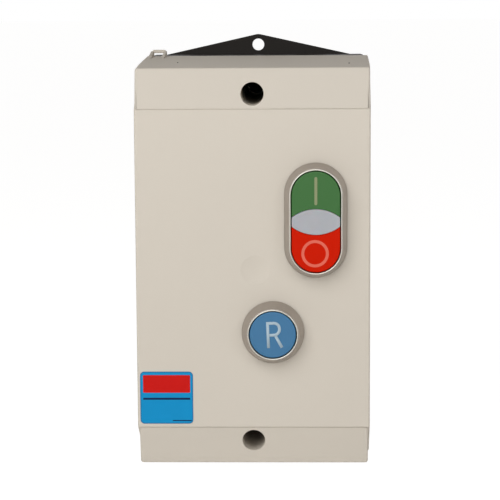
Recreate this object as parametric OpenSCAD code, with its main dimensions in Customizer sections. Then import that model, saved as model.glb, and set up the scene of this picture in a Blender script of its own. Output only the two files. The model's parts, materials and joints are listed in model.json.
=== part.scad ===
// Enclosed motor starter: a light grey cover on a black wall base, with a twin
// START / STOP push-button, a round RESET push-button, and a contactor with an
// overload relay on a rail inside. Millimetres; the wall is the plane Y = 0,
// the front looks along -Y, Z is up and the origin is the middle of the wall face.

/* [Enclosure] */
// Width across the cover's rear edge
encl_w = 120; // [112:1:140]
// Height across the cover's rear edge
encl_h = 200; // [192:1:240]
// Depth from the wall to the front face
encl_d = 160; // [154:1:190]
// Depth of the base, from the wall to the joint
base_d = 38; // [34:1:44]
// Wall thickness of both shells
wall = 3; // [2.4:0.1:3.4]
// Draft of the cover's two sides, in degrees
side_draft = 1.6; // [1:0.05:1.8]
// Draft of the cover's top and bottom, in degrees
end_draft = 1.5; // [1:0.1:1.8]
// Radius of the cover's four long corners
corner_r = 1; // [0.6:0.1:2]
// Radius of the base's four corners
base_r = 3; // [1.5:0.1:4]
// Radius of the upright edges of the front
edge_r = 1.3; // [0.8:0.1:1.8]
// How far the base stands inside the cover's rear edge
base_step = 0.1; // [0:0.05:1]
// Thickness of the gasket between cover and base
gasket_t = 1; // [0.6:0.1:1.6]

/* [Front face] */
// Height of each sloping end band
band_h = 19.6; // [16:0.1:24]
// How far each end band slopes back
slope_d = 7; // [4:0.5:10]
// How far the upper band stands in from the sides
upper_inset = 0.25; // [0.2:0.05:1.2]
// How far the lower band stands in from the sides
lower_inset = 0.8; // [0.2:0.05:1.2]
// Radius of the outer edges and corners of the end bands
band_r = 1.3; // [1:0.1:2.4]
// How far the bands' front lines lie behind the face
crease = 0.4; // [0.2:0.05:0.6]
// Depth of the step where the bands run into the sides
step_d = 35; // [25:1:45]
// Radius of the two screw wells
well_r = 5.5; // [5:0.1:6]
// Distance of a well from its band's front line
well_up = 7.4; // [6.6:0.1:9]
// Side of the square sticker
sticker_w = 25.8; // [20:0.1:30]
// Width of the sealing eyelet
eyelet_w = 8.7; // [7.5:0.1:11]
// Height of the sealing eyelet above the cover
eyelet_h = 3.4; // [3:0.1:5]

/* [Wall lugs] */
// Radius of the hole in each lug
lug_hole_r = 3.3; // [2.2:0.1:3.8]
// Distance of each hole from the middle of the box
lug_hole_z = 105.4; // [104:0.1:126]
// Half width of a lug where it meets the box
lug_half_w = 51.4; // [30:0.2:52]
// Ring of material round a lug's hole
lug_ring = 2.5; // [2:0.1:4]

/* [Push-buttons] */
// Distance of the twin push-button from the cover's right edge
twin_in = 29.7; // [29:0.1:31]
// Height of the twin push-button above the middle
twin_z = 24.2; // [22:0.1:30]
// Place of the RESET push-button to the right of the middle
reset_x = 9.6; // [8:0.1:10]
// Height of the RESET push-button, above the middle
reset_z = -30.2; // [-31:0.1:-29.6]
// Radius of the panel hole
panel_hole_r = 11.15; // [11:0.05:11.3]
// Radius of a collar where it meets the panel
collar_r = 15.15; // [14:0.05:16]
// How far a collar stands out of the panel
collar_h = 9.2; // [8.6:0.1:12]
// Radius of the twin push-button's caps
twin_cap_r = 11.55; // [11.2:0.05:11.9]
// Half the straight length of the twin push-button
twin_half = 12.6; // [12:0.1:14]
// Radius of the RESET cap
reset_cap_r = 11.15; // [10.8:0.05:11.6]
// Radial gap between a cap and its bright ring
cap_gap = 0.45; // [0.3:0.05:0.6]
// Width of a bright ring
ring_w = 0.6; // [0.5:0.05:0.8]
// Travel of every push-button
travel = 4; // [3:0.1:4.2]
// Height of the signal lens at its middle, each way
lens_half = 6.1; // [5.6:0.1:6.8]
// Gap between the lens and a cap
lens_gap = 0.18; // [0.15:0.01:0.3]
// Radius of the arcs that bound the lens
lens_arc_r = 18.7; // [17:0.1:24]

/* [Contactor and relay] */
// Height of the contactor
contactor_h = 68; // [66:1:76]
// Depth of the contactor in front of the rail
contactor_d = 68.3; // [66:0.1:72]
// Travel of the contactor's armature
pull = 5; // [3:0.1:5.2]
// Travel of the relay's trip slide
trip_travel = 2; // [1:0.1:2.2]
// Distance between neighbouring poles
pole_pitch = 11; // [10.6:0.1:11.4]
// Height of the overload relay
relay_h = 54.5; // [52:0.5:58]
// Height of the rail above the middle of the box
rail_z = 30; // [28:0.5:32]

/* [Hidden] */
$fn = 64;

// Clearances
gap = 0.3;          // between pieces that move past each other
slip = 0.1;         // round a sliding stem
seat = 0.05;        // round a screw in its hole

// Enclosure
cover_d = encl_d - base_d;
side_tan = tan(side_draft);
end_tan = tan(end_draft);
slope_a = atan(slope_d / band_h);       // lean of an end band
groove = [0.45, 0.4];                   // width and depth of the line under each band
front_w = encl_w - 2 * cover_d * side_tan;
front_h = encl_h - 2 * cover_d * end_tan;
line_z = front_h / 2 - band_h;          // height of the line between face and band
well_z = line_z + well_up;
base_w = encl_w - 2 * base_step;
base_h = encl_h - 2 * base_step;
base_rim_y = gasket_t - base_d;         // the base's front rim, under the gasket
lip_h = 4;                              // the base's locating lip in the cover
lip_t = 1.2;
lip_gap = 0.7;
boss_wall = 2;                          // wall round a screw well
boss_floor = 4;                         // floor of a screw well
boss_y = -base_d - gasket_t;            // rear end of the cover's bosses
cover_screw_r = 2;
screw_head_r = 4.2;
screw_head_h = 3;
screw_seal_t = 1;
screw_bite = 12;                        // depth of a cover screw in the base
screw_floor = 1.2;                      // floor under a blind screw hole in the wall
entry_r = 10.2;                         // knock-out for a 20 mm gland
entry_in = 32;                          // from the side of the base
entry_x = encl_w / 2 - entry_in;
entry_cut = 1.3;
earth_in = 18;                          // from the side and from the end
earth_up = 26;
earth_pitch = 14;
earth_x = [encl_w / 2 - earth_in - earth_pitch, encl_w / 2 - earth_in];
earth_z = earth_up - encl_h / 2;
earth_pad = 3;
earth_pad_r = 3.4;
earth_w = 9;                            // width of the earth bar
earth_t = 2;
earth_screw_r = 1.6;
earth_head = [3.2, 2.4];                // radius and height of a screw's head
sticker_t = 0.15;
sticker_r = 2;
sticker_in = [1.4, 1.6];                // from the side and from the lower line
eyelet_in = 2.6;                        // from the cover's left side
eyelet_leg = 1.6;                       // width of a leg
eyelet_t = 2;                           // depth of the loop
eyelet_bar = 1.8;
eyelet_lean = 0.6;                      // how far the sides lean in towards the top
eyelet_nip = 0.7;                       // cut-off of the upper corners
eyelet_rib = 26;                        // length of the ribs
lug_root = 5;

// Rail, 35 mm wide and 7.5 mm high
rail_w = 35;
rail_web = 27;
rail_h = 7.5;
rail_t = 1;
rail_len = encl_w - 24;
rail_pad = 6;                           // height of the pads that carry the rail
rail_pad_r = 5.5;
rail_screw_x = rail_len / 2 - 10;
rail_screw_r = 1.9;
rail_head = [3.4, 2.2];                 // radius and height of a screw's head
rail_front = wall + rail_pad + rail_h;

// Push-buttons, measured from the panel, outward positive
twin_at = [encl_w / 2 - twin_in, twin_z];
reset_at = [reset_x, reset_z];
seal_t = 0.8;
seal_in = 0.6;                          // the seal's edge inside the collar's
collar_floor = 1.2;
collar_foot = 1.5;                      // the nearly upright foot of a collar
collar_lean = 0.5;
collar_lip = 0.15;
collar_down = 0.3;                      // the collar's mouth below its bright ring
ring_d = 2.5;                           // depth of the bright ring's seat
ring_edge = [0.35, 0.5];                // the ring's outer chamfer, across and along
barrel_r = panel_hole_r - 0.25;
barrel_in_r = barrel_r - 1.5;
barrel_len = 28;
cap_top = collar_h - 0.4;
cap_under = seal_t + collar_floor + travel + gap;
nut_h = 6;
nut_r = 14;
notch_d = 1.2;
notch_half = 1.5;
plunger_r = barrel_in_r - 0.2;
web_half = 1.3;                         // half width of the two posts under the lens
web_in = 3.5;                           // the light path between the posts
shelf_z = -12;                          // shelf that the springs stand on
shelf_t = 2;
head_top = cap_under - 1.3;             // top of a plunger's head, under the lens
head_t = 2;
stem_x = [-8.2, -5.6];
stem_y = [1.6, 4];
spring_at = [2, 5];
half_spring_r = 2.1;
half_wire_r = 0.35;
plunger_tip = 2.4;                      // the stem below its bridge
led_r = 2.1;                            // the light pipe of the lamp element
led_room = 2.5;
led_top = shelf_z - shelf_t - 5;
bridge_x = [-7.7, -6.1];
bridge_reach = 9;
contact_in = 6;
block_screw_x = -9.6;
block_screw_y = 14.6;
block_screw_r = 1.2;
block_screw_head = 2.4;
skirt_len = 9;
skirt_t = 1.4;
skirt_foot = [5, 1.5];                  // the ring that the spring pushes on
reset_spring_r = 6.6;
reset_wire_r = 0.5;
block_top = -barrel_len - 1;
block_x = [-14.2, -4.2];
block_half_h = 20;
block_d = 23;
block_wall = 1.1;
block_top_t = 3;
block_foot_t = 4;
block_entry = [2.4, 2, 6.5, 4];         // side wall, depth, height and rise of a wire entry
adapter_t = 4.7;
adapter_rim = 1.2;
adapter_drop = 0.7;
adapter_ring = 2.2;
adapter_sleeve = 6;
adapter_notch = [4, 2];
bridge_t = 0.8;
contact_t = 1;
make_z = block_top - 9;                 // bridge of the start contact, open at rest
break_z = block_top - 11.8;             // bridge of the stop contact, closed at rest
led_half_w = -block_x[1] - gap;

// Contactor, measured from the front of the rail, outward positive
half_device = 2 * pole_pitch + 0.5;     // the contactor and the relay are 45 wide
half_ctr = contactor_h / 2;
foot_top = 26;
core_t = 16;                            // stack of the iron cores
core_leg = 4.5;
core_out = 16.5;
core_z = 3.3;
core_yoke = 5.7;
core_top = 25;
former_top = core_top - 1.2;
former_half_y = 15.4;
flange_t = 1;
winding_in = 0.9;                       // the winding inside the bobbin's flanges
arm_z = core_top + pull + gap;          // armature's poles at rest
arm_leg = 5.7;
arm_top = arm_z + arm_leg + 6;
carrier_h = 16;
carrier_half_y = 5;
cheek_half = 6;                         // the carrier's cheeks beside the armature
cheek_t = 1.8;
arm_out = 7.5;                          // reach of the arms that the springs push on
arm_half = 4;
button_half = [5, 3.5];                 // the carrier's end in the housing's window
carrier_spring_r = 2.1;
carrier_wire_r = 0.4;
carrier_spring_y = core_t / 2 + 5.1;
bridge_z = arm_top + 8;                 // underside of the bridges at rest
bridge_half = 14;
bridge_half_w = 2.5;
carrier_half_x = 1.5 * pole_pitch + bridge_half_w + 0.5;
pad_t = 0.6;                            // contact pad under a bridge's end
pole_z = bridge_z - pad_t - pull - gap; // top of the fixed contacts
pad_r = 1.5;
spring_top = arm_top - 5;
pole_t = 1.2;
pole_half = 2.8;
pole_in = 10.5;
pole_screw_y = 27;
pole_screw_r = 1.5;
pole_screw_len = 5.5;
pole_head = [2.9, 2.4];                 // radius and height of a screw's head
pocket_half = 4;                        // terminal pocket, half width
pocket_rise = 5;                        // and reach above and below the contact
key_r = 3.2;                            // way in for a screwdriver
cavity_half_y = 16;
foot_wall = 5;
housing_wall = 2;
foot_room_y = 24;
shoulder_d = 8;                         // the housing's lower shoulders, in depth
shoulder_h = 13;                        // and in height
roof_t = 4;
hook_half = 14;
hook_t = 3.2;
poles = [for (i = [-1.5:1:1.5]) i * pole_pitch];
hook_z = [-3.8, -rail_t - gap];         // hooks behind the rail's flanges
latch_half = 7;
latch_in = 1.5;
latch_rail = 2.6;                       // width of the latch's guides
latch_slot = [2.5, 2.6, 0.8];           // half width, far and near side

// Overload relay, in the contactor's frame
relay_top = -half_ctr - 2.5;
relay_bottom = relay_top - relay_h;
relay_back = 6;
pin_t = 1.4;                            // link pins
pin_half = 2;
pin_leg_half = 1.2;
relay_room = [relay_bottom + 14, relay_top - 2.5];
relay_poles = [for (i = [0:2]) poles[i]];
relay_screw_y = relay_bottom + 6;
relay_split = 58;
relay_front_t = 6;
relay_d = relay_split + relay_front_t;
relay_wall = 2.5;
relay_keep = relay_split - gap;         // flanges that keep the buttons in
dial_at = [-9, -62];
dial_r = 5.2;
dial_sunk = 2.5;
dial_stem_r = 2.2;
dial_in = 4;                            // the stem behind the front plate
dial_slot_half = 0.6;
flange_out = 1.2;                       // flange that keeps a button or stem in
flange_in = 1.5;
plunger_at = [reset_at[0], reset_at[1] - rail_z];
relay_reset_r = 3;
relay_reset_out = relay_d + travel;
test_at = [-9, -73];
test_r = 2.4;
test_travel = 2;
strip_z = [22, 30];
strip_t = 0.8;
strip_low = relay_room[0] + 4;
slide_x = [-19.5, 11];
slide_z = [24, 28];
ledge_x = [-15, 7];                     // clear of the strips
ledge_w = 4;
ledge_h = 5;
rod_r = 3;

// ---- Helpers ----

// A box between two corners given as spans
module span(x, y, z) {
    translate([x[0], y[0], z[0]])
        cube([x[1] - x[0], y[1] - y[0], z[1] - z[0]]);
}

// A cylinder along Z between two heights
module rod(r, z0, z1) {
    translate([0, 0, z0]) cylinder(r = r, h = z1 - z0);
}

// A tube along Z between two heights
module tube(r_out, r_in, z0, z1) {
    difference() {
        rod(r_out, z0, z1);
        rod(r_in, z0 - 1, z1 + 1);
    }
}

// Places a piece on the front: its Z points out, its Y points up
module on_front(at = [0, 0]) {
    translate([at[0], -encl_d, at[1]]) rotate([90, 0, 0]) children();
}

// Places a piece on the rail: its Z points out, its Y points up
module on_rail() {
    translate([0, -rail_front, rail_z]) rotate([90, 0, 0]) children();
}

// A solid with round ends above and below, its radius running from r0 to r1
module long_cone(r0, r1, half, z0, z1) {
    for (y = half > 0 ? [-half, half] : [0])
        translate([0, y, z0]) cylinder(r1 = r0, r2 = r1, h = z1 - z0);
    if (half > 0)
        translate([0, half, 0]) rotate([90, 0, 0])
            linear_extrude(2 * half)
                polygon([[-r0, z0], [r0, z0], [r1, z1], [-r1, z1]]);
}

// A screw with a slotted cylinder head; Z = 0 is under the head
module slot_screw(r, len, head_r, head_h) {
    difference() {
        union() {
            rod(r, -len, 0);
            rod(head_r, 0, head_h);
        }
        span([-head_r, head_r], [-0.5, 0.5], [head_h * 0.55, head_h + 1]);
        span([-0.5, 0.5], [-head_r * 0.7, head_r * 0.7], [head_h * 0.55, head_h + 1]);
    }
}

// A closed helical spring that stands on Z = 0
module coil_spring(r, wire_r, len, turns) {
    per_turn = 12;
    sides = 6;
    n = turns * per_turn;
    rise = (len - 2 * wire_r) / n;
    pts = [for (i = [0:n], j = [0:sides - 1])
        let (a = 360 * i / per_turn, b = 360 * j / sides, rr = r + wire_r * cos(b))
        [rr * cos(a), rr * sin(a), wire_r + i * rise + wire_r * sin(b)]];
    walls = [for (i = [0:n - 1], j = [0:sides - 1])
        let (k = (j + 1) % sides)
        [i * sides + j, i * sides + k, (i + 1) * sides + k, (i + 1) * sides + j]];
    ends = [[for (j = [sides - 1:-1:0]) j], [for (j = [0:sides - 1]) n * sides + j]];
    polyhedron(pts, concat(walls, ends));
}

// ---- Enclosure ----

function half_w(d) = front_w / 2 + d * side_tan;
function half_h(d) = front_h / 2 + d * end_tan;

// A thin slice across the enclosure that ends d behind the front, with round corners
module slice(d, hw, hh, r) {
    for (sx = [-1, 1], sz = [-1, 1])
        translate([sx * (hw - r), d - encl_d, sz * (hh - r)])
            rotate([90, 0, 0]) cylinder(r = r, h = 0.02, $fn = 32);
}

// Upright posts that round the front's edges, d behind the front
module posts(d, hw, hh, r) {
    for (sx = [-1, 1])
        translate([sx * (hw - r), d + r - encl_d, -hh])
            cylinder(r = r, h = 2 * hh, $fn = 32);
}

// One end's half of the solid inside the bands: posts along the face, balls at the
// outer corners and a slice at the step; t is 0 for the outside, the wall for the inside
module core_half(s, t) {
    inset = t + (s > 0 ? upper_inset : lower_inset);
    hh = line_z - t * tan(slope_a / 2);
    for (sx = [-1, 1]) {
        translate([sx * (front_w / 2 - inset - edge_r), max(t, crease) + edge_r - encl_d,
                   s > 0 ? 0 : -hh])
            cylinder(r = edge_r, h = hh, $fn = 32);
        translate([sx * (half_w(slope_d) - inset - band_r), slope_d + t + band_r - encl_d,
                   s * (half_h(slope_d) - t - band_r)])
            sphere(r = band_r, $fn = 32);
        translate([sx * (half_w(step_d) - inset - corner_r), step_d - encl_d,
                   s * (half_h(step_d) - t - corner_r)])
            rotate([90, 0, 0]) cylinder(r = corner_r, h = 0.02, $fn = 32);
    }
}

module cover_core(t) {
    hull() for (s = [-1, 1]) core_half(s, t);
}

// The full-width face that wraps round the sides between the two bands
module cover_saddle() {
    hull() {
        posts(0, front_w / 2, line_z, edge_r);
        slice(step_d, half_w(step_d), half_h(step_d) - 2, corner_r);
    }
}

// The part behind the step; the inside runs on past the open rear edge
module cover_rear(t) {
    end = t > 0 ? cover_d + 1 : cover_d;
    hull() {
        slice(step_d, half_w(step_d) - t, half_h(step_d) - t, corner_r);
        slice(end, half_w(end) - t, half_h(end) - t, corner_r);
    }
}

// Loop for a lead seal, on two ribs that run down onto the cover's top
module sealing_eyelet() {
    hw = eyelet_w / 2;
    root = encl_h / 2 - wall / 2;
    top = encl_h / 2 + eyelet_h;
    translate([eyelet_in - encl_w / 2 + hw, 0, 0]) {
        along_y(-base_d - eyelet_t, -base_d) for (s = [0, 1]) mirror([s, 0])
            polygon([[0, top], [hw - eyelet_lean - eyelet_nip, top],
                     [hw - eyelet_lean, top - eyelet_nip], [hw, encl_h / 2], [hw, root],
                     [hw - eyelet_leg, root], [hw - eyelet_leg, top - eyelet_bar],
                     [0, top - eyelet_bar]]);
        for (x = [-hw, hw - eyelet_leg])
            translate([x, 0, 0]) rotate([90, 0, 90]) linear_extrude(eyelet_leg)
                polygon([[-base_d - eyelet_t, root],
                         [-base_d - eyelet_t, encl_h / 2 + eyelet_h * 0.8],
                         [-base_d - eyelet_rib, encl_h / 2 - eyelet_rib * end_tan],
                         [-base_d - eyelet_rib, root]]);
    }
}

module cover() {
    color([0.80, 0.77, 0.72]) difference() {
        union() {
            difference() {
                union() {
                    cover_core(0);
                    cover_saddle();
                    cover_rear(0);
                }
                cover_core(wall);
                cover_rear(wall);
            }
            intersection() {
                for (s = [-1, 1])
                    on_front([0, s * well_z]) rod(well_r + boss_wall, -boss_y - encl_d, 0);
                cover_core(0.5);
            }
            for (s = [-1, 1]) on_front([0, s * well_z])
                rod(well_r + boss_wall, -boss_y - encl_d, -step_d + 5);
            sealing_eyelet();
        }
        // The line between the face and each band
        for (s = [0, 1]) mirror([0, 0, s])
            span([-encl_w / 2, encl_w / 2], [-encl_d - 1, crease + groove[1] - encl_d],
                 [line_z, line_z + groove[0]]);
        for (s = [-1, 1]) on_front([0, s * well_z]) {
            rod(well_r, -boss_y - encl_d + boss_floor, 1);
            rod(cover_screw_r + gap, -boss_y - encl_d - 1, 0);
        }
        on_front(twin_at) rod(panel_hole_r, -wall - 1, 1);
        on_front(reset_at) rod(panel_hole_r, -wall - 1, 1);
    }
}

// Outline of one lug: sides tangent to the ring round its hole
module lug_outline() {
    ring = lug_hole_r + lug_ring;
    rise = lug_hole_z - base_h / 2;
    a = atan2(ring, lug_half_w) + atan2(rise, lug_half_w);
    difference() {
        union() {
            translate([0, lug_hole_z]) circle(r = ring);
            polygon([[-lug_half_w, base_h / 2], [-lug_half_w, base_h / 2 - lug_root],
                     [lug_half_w, base_h / 2 - lug_root], [lug_half_w, base_h / 2],
                     [ring * sin(a), lug_hole_z + ring * cos(a)],
                     [-ring * sin(a), lug_hole_z + ring * cos(a)]]);
        }
        translate([0, lug_hole_z]) circle(r = lug_hole_r);
    }
}

module rounded_rect(w, h, r) {
    for (sx = [-1, 1], sy = [-1, 1])
        translate([sx * (w / 2 - r), sy * (h / 2 - r)]) circle(r = r);
    square([w - 2 * r, h], center = true);
    square([w, h - 2 * r], center = true);
}

// Extrudes an outline in X and Z along Y, from y0 to y1
module along_y(y0, y1) {
    translate([0, y1, 0]) rotate([90, 0, 0]) linear_extrude(y1 - y0) children();
}

// The base's open box, with a locating lip that stands inside the cover
module base_shell() {
    lip_w = encl_w - 2 * (wall + lip_gap);
    lip_height = encl_h - 2 * (wall + lip_gap);
    difference() {
        union() {
            along_y(base_rim_y, 0) rounded_rect(base_w, base_h, base_r);
            along_y(base_rim_y - lip_h, -wall) rounded_rect(lip_w, lip_height, base_r);
        }
        along_y(base_rim_y - lip_h - 1, base_rim_y + lip_h + 1)
            rounded_rect(lip_w - 2 * lip_t, lip_height - 2 * lip_t, base_r);
        along_y(base_rim_y + lip_h, -wall)
            rounded_rect(base_w - 2 * wall, base_h - 2 * wall, base_r);
    }
}

// Places a round post or hole on the wall side: its Z points away from the wall
module on_wall(x, z) {
    translate([x, 0, z]) rotate([90, 0, 0]) children();
}

module base() {
    color([0.11, 0.11, 0.11]) difference() {
        union() {
            base_shell();
            for (a = [0, 180]) rotate([0, a, 0]) along_y(-wall, 0) lug_outline();
            for (s = [-1, 1]) on_wall(0, s * well_z)
                rod(well_r + boss_wall, wall - 1, -boss_y - gap);
            for (x = [-1, 1] * rail_screw_x) on_wall(x, rail_z)
                rod(rail_pad_r, wall - 1, wall + rail_pad);
            for (x = earth_x) on_wall(x, earth_z)
                rod(earth_pad_r, wall - 1, wall + earth_pad);
        }
        for (s = [-1, 1]) on_wall(0, s * well_z)
            rod(cover_screw_r + seat, -boss_y - gap - screw_bite, -boss_y);
        for (x = [-1, 1] * rail_screw_x) on_wall(x, rail_z)
            rod(rail_screw_r + seat, screw_floor, wall + rail_pad + 1);
        for (x = earth_x) on_wall(x, earth_z)
            rod(earth_screw_r + seat, screw_floor, wall + earth_pad + 1);
        // Knock-outs for cable glands, above and below
        for (sx = [-1, 1], s = [-1, 1])
            translate([sx * entry_x, -base_d / 2, s * base_h / 2])
                cylinder(r = entry_r, h = 2 * entry_cut, center = true);
    }
}

module cover_gasket() {
    color([0.2, 0.2, 0.2]) along_y(-base_d, base_rim_y) difference() {
        rounded_rect(base_w, base_h, base_r);
        rounded_rect(encl_w - 2 * (wall + lip_gap) + 2 * slip,
                     encl_h - 2 * (wall + lip_gap) + 2 * slip, base_r);
    }
}

module cover_screws() {
    len = boss_floor + gasket_t + gap + screw_seal_t + screw_bite - 1;
    color([0.75, 0.75, 0.77]) for (s = [-1, 1])
        on_wall(0, s * well_z)
            translate([0, 0, boss_floor - boss_y + screw_seal_t])
                slot_screw(cover_screw_r, len, screw_head_r, screw_head_h);
}

module screw_seals() {
    color([0.15, 0.15, 0.15]) for (s = [-1, 1])
        on_wall(0, s * well_z)
            tube(screw_head_r, cover_screw_r + seat, boss_floor - boss_y,
                 boss_floor - boss_y + screw_seal_t);
}

module front_sticker() {
    color([0.14, 0.6, 0.84])
        on_front([sticker_w / 2 - front_w / 2 + sticker_in[0],
                  sticker_w / 2 - line_z + sticker_in[1]])
            linear_extrude(sticker_t) rounded_rect(sticker_w, sticker_w, sticker_r);
}

// ---- Rail and earth ----

module mounting_rail() {
    x = [-rail_len / 2, rail_len / 2];
    color([0.78, 0.8, 0.8]) on_rail() difference() {
        union() {
            span(x, [-rail_web / 2, rail_web / 2], [-rail_h, rail_t - rail_h]);
            for (s = [0, 1]) mirror([0, s, 0]) {
                span(x, [rail_web / 2 - rail_t, rail_web / 2], [-rail_h, 0]);
                span(x, [rail_web / 2 - rail_t, rail_w / 2], [-rail_t, 0]);
            }
        }
        for (s = [-1, 1]) translate([s * rail_screw_x, 0, 0])
            rod(rail_screw_r + gap, -rail_h - 1, 1);
    }
}

module rail_screws() {
    color([0.75, 0.75, 0.77]) for (x = [-1, 1] * rail_screw_x)
        on_wall(x, rail_z) translate([0, 0, wall + rail_pad + rail_t])
            slot_screw(rail_screw_r, rail_pad + rail_t, rail_head[0], rail_head[1]);
}

module earth_terminal() {
    color([0.8, 0.68, 0.3]) difference() {
        along_y(-wall - earth_pad - earth_t, -wall - earth_pad)
            translate([(earth_x[0] + earth_x[1]) / 2, earth_z])
                square([earth_x[1] - earth_x[0] + earth_w, earth_w], center = true);
        for (x = earth_x) on_wall(x, earth_z) rod(earth_screw_r + seat, 0, base_d);
    }
}

module earth_screws() {
    color([0.75, 0.75, 0.77]) for (x = earth_x)
        on_wall(x, earth_z) translate([0, 0, wall + earth_pad + earth_t])
            slot_screw(earth_screw_r, earth_pad + earth_t, earth_head[0], earth_head[1]);
}

// ---- Push-buttons ----

// A tapered collar with a pocket for the caps and a floor with a round way through
module button_collar(cap_r, half, rim) {
    top_r = rim + collar_lip;
    waist_r = collar_r - collar_lean;
    waist_z = seal_t + collar_foot;
    difference() {
        union() {
            long_cone(collar_r, waist_r, half, seal_t, waist_z);
            long_cone(waist_r, top_r, half, waist_z, collar_h - collar_down);
        }
        long_cone(rim + 0.02, rim + 0.02, half, collar_h - ring_d, collar_h);
        long_cone(cap_r + cap_gap, cap_r + cap_gap, half, seal_t + collar_floor, collar_h);
        rod(barrel_in_r, 0, collar_h);
    }
}

// The bright ring let into the collar's mouth
module bright_ring(cap_r, half) {
    in_r = cap_r + cap_gap;
    out_r = in_r + ring_w;
    difference() {
        union() {
            long_cone(out_r, out_r, half, collar_h - ring_d, collar_h - ring_edge[1]);
            long_cone(out_r, out_r - ring_edge[0], half, collar_h - ring_edge[1], collar_h);
        }
        long_cone(in_r, in_r, half, 0, collar_h + 1);
    }
}

module button_seal(half) {
    difference() {
        long_cone(collar_r - seal_in, collar_r - seal_in, half, 0, seal_t);
        rod(panel_hole_r, -1, seal_t + 1);
    }
}

// The nut behind the panel, with six notches for a ring key
module barrel_nut() {
    difference() {
        tube(nut_r, barrel_r + seat, -wall - nut_h, -wall);
        for (a = [0:60:300]) rotate([0, 0, a])
            span([nut_r - notch_d, nut_r + 1], [-notch_half, notch_half],
                 [-wall - nut_h - 1, -wall + 1]);
    }
}

module twin_collar() {
    color([0.55, 0.53, 0.5]) on_front(twin_at)
        button_collar(twin_cap_r, twin_half, twin_cap_r + cap_gap + ring_w);
}

module twin_bright_ring() {
    color([0.88, 0.87, 0.86]) on_front(twin_at) bright_ring(twin_cap_r, twin_half);
}

module twin_seal() {
    color([0.13, 0.13, 0.13]) on_front(twin_at) button_seal(twin_half);
}

// Everything inside the lens's two arcs, grown outward by g
module lens_outline(g) {
    c = lens_half - lens_arc_r;
    intersection() {
        translate([0, c]) circle(r = lens_arc_r + g, $fn = 180);
        translate([0, -c]) circle(r = lens_arc_r + g, $fn = 180);
    }
}

// The outline of both caps together
module twin_outline(r) {
    for (s = [-1, 1]) translate([0, s * twin_half]) circle(r = r);
    square([2 * r, 2 * twin_half], center = true);
}

module half_cap() {
    translate([0, 0, cap_under]) linear_extrude(cap_top - cap_under) difference() {
        intersection() {
            twin_outline(twin_cap_r);
            upper_half(0);
        }
        lens_outline(lens_gap);
    }
}

// Everything above the height y, wide enough for the push-button
module upper_half(y) {
    translate([-2 * twin_cap_r, y]) square(4 * twin_cap_r);
}

module start_button() {
    color([0.2, 0.47, 0.24]) on_front(twin_at) half_cap();
}

module stop_button() {
    color([0.82, 0.1, 0.06]) on_front(twin_at) rotate([0, 0, 180]) half_cap();
}

module signal_lens() {
    color([0.74, 0.75, 0.8]) on_front(twin_at) {
        translate([0, 0, head_top + gap]) linear_extrude(cap_top - head_top - gap)
            intersection() {
                lens_outline(0);
                twin_outline(twin_cap_r);
            }
    }
}

// The head of a plunger under its cap, and the stem that carries a contact bridge
module half_plunger(bridge_at) {
    foot_y = lens_half + lens_gap + 0.4;
    difference() {
        union() {
            translate([0, 0, head_top - head_t]) linear_extrude(head_t) intersection() {
                circle(r = plunger_r);
                upper_half(web_half + gap);
            }
            translate([0, 0, head_top - head_t]) linear_extrude(cap_under - head_top + head_t)
                intersection() {
                    circle(r = plunger_r);
                    upper_half(foot_y);
                }
            span(stem_x, stem_y, [bridge_at - plunger_tip, head_top - head_t / 2]);
        }
        span(bridge_x, [-bridge_reach, bridge_reach], [bridge_at, bridge_at + bridge_t]);
    }
}

module start_plunger() {
    color([0.85, 0.85, 0.83]) on_front(twin_at) half_plunger(make_z);
}

module stop_plunger() {
    color([0.85, 0.85, 0.83]) on_front(twin_at) rotate([0, 0, 180]) half_plunger(break_z);
}

module half_spring() {
    translate([spring_at[0], spring_at[1], shelf_z])
        coil_spring(half_spring_r, half_wire_r, head_top - head_t - shelf_z, 6);
}

module start_spring() {
    color([0.8, 0.8, 0.82]) on_front(twin_at) half_spring();
}

module stop_spring() {
    color([0.8, 0.8, 0.82]) on_front(twin_at) rotate([0, 0, 180]) half_spring();
}

module half_bridge(at) {
    span(bridge_x, [-bridge_reach, bridge_reach], [at, at + bridge_t]);
}

module start_bridge() {
    color([0.85, 0.72, 0.45]) on_front(twin_at) half_bridge(make_z);
}

module stop_bridge() {
    color([0.85, 0.72, 0.45]) on_front(twin_at) rotate([0, 0, 180]) half_bridge(break_z);
}

// The barrel behind the collar: a shelf for the springs, two posts for the lens
module twin_barrel() {
    color([0.16, 0.16, 0.16]) on_front(twin_at) {
        difference() {
            union() {
                tube(barrel_r, barrel_in_r, -barrel_len, seal_t);
                rod(barrel_in_r + 0.2, shelf_z - shelf_t, shelf_z);
                intersection() {
                    rod(barrel_in_r + 0.2, shelf_z - 1, seal_t);
                    lens_posts(shelf_z - 1, seal_t);
                }
                intersection() {
                    rod(barrel_in_r - slip, 0, head_top + gap);
                    lens_posts(0, head_top + gap);
                }
            }
            rod(led_room, shelf_z - shelf_t - 1, shelf_z + 1);
            for (a = [0, 180]) rotate([0, 0, a])
                span([stem_x[0] - gap, stem_x[1] + gap], [stem_y[0] - gap, stem_y[1] + gap],
                     [shelf_z - shelf_t - 1, shelf_z + 1]);
        }
    }
}

module lens_posts(z0, z1) {
    for (s = [0, 1]) mirror([s, 0, 0])
        span([web_in, barrel_in_r + 1], [-web_half, web_half], [z0, z1]);
}

module twin_nut() {
    color([0.72, 0.73, 0.74]) on_front(twin_at) barrel_nut();
}

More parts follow.
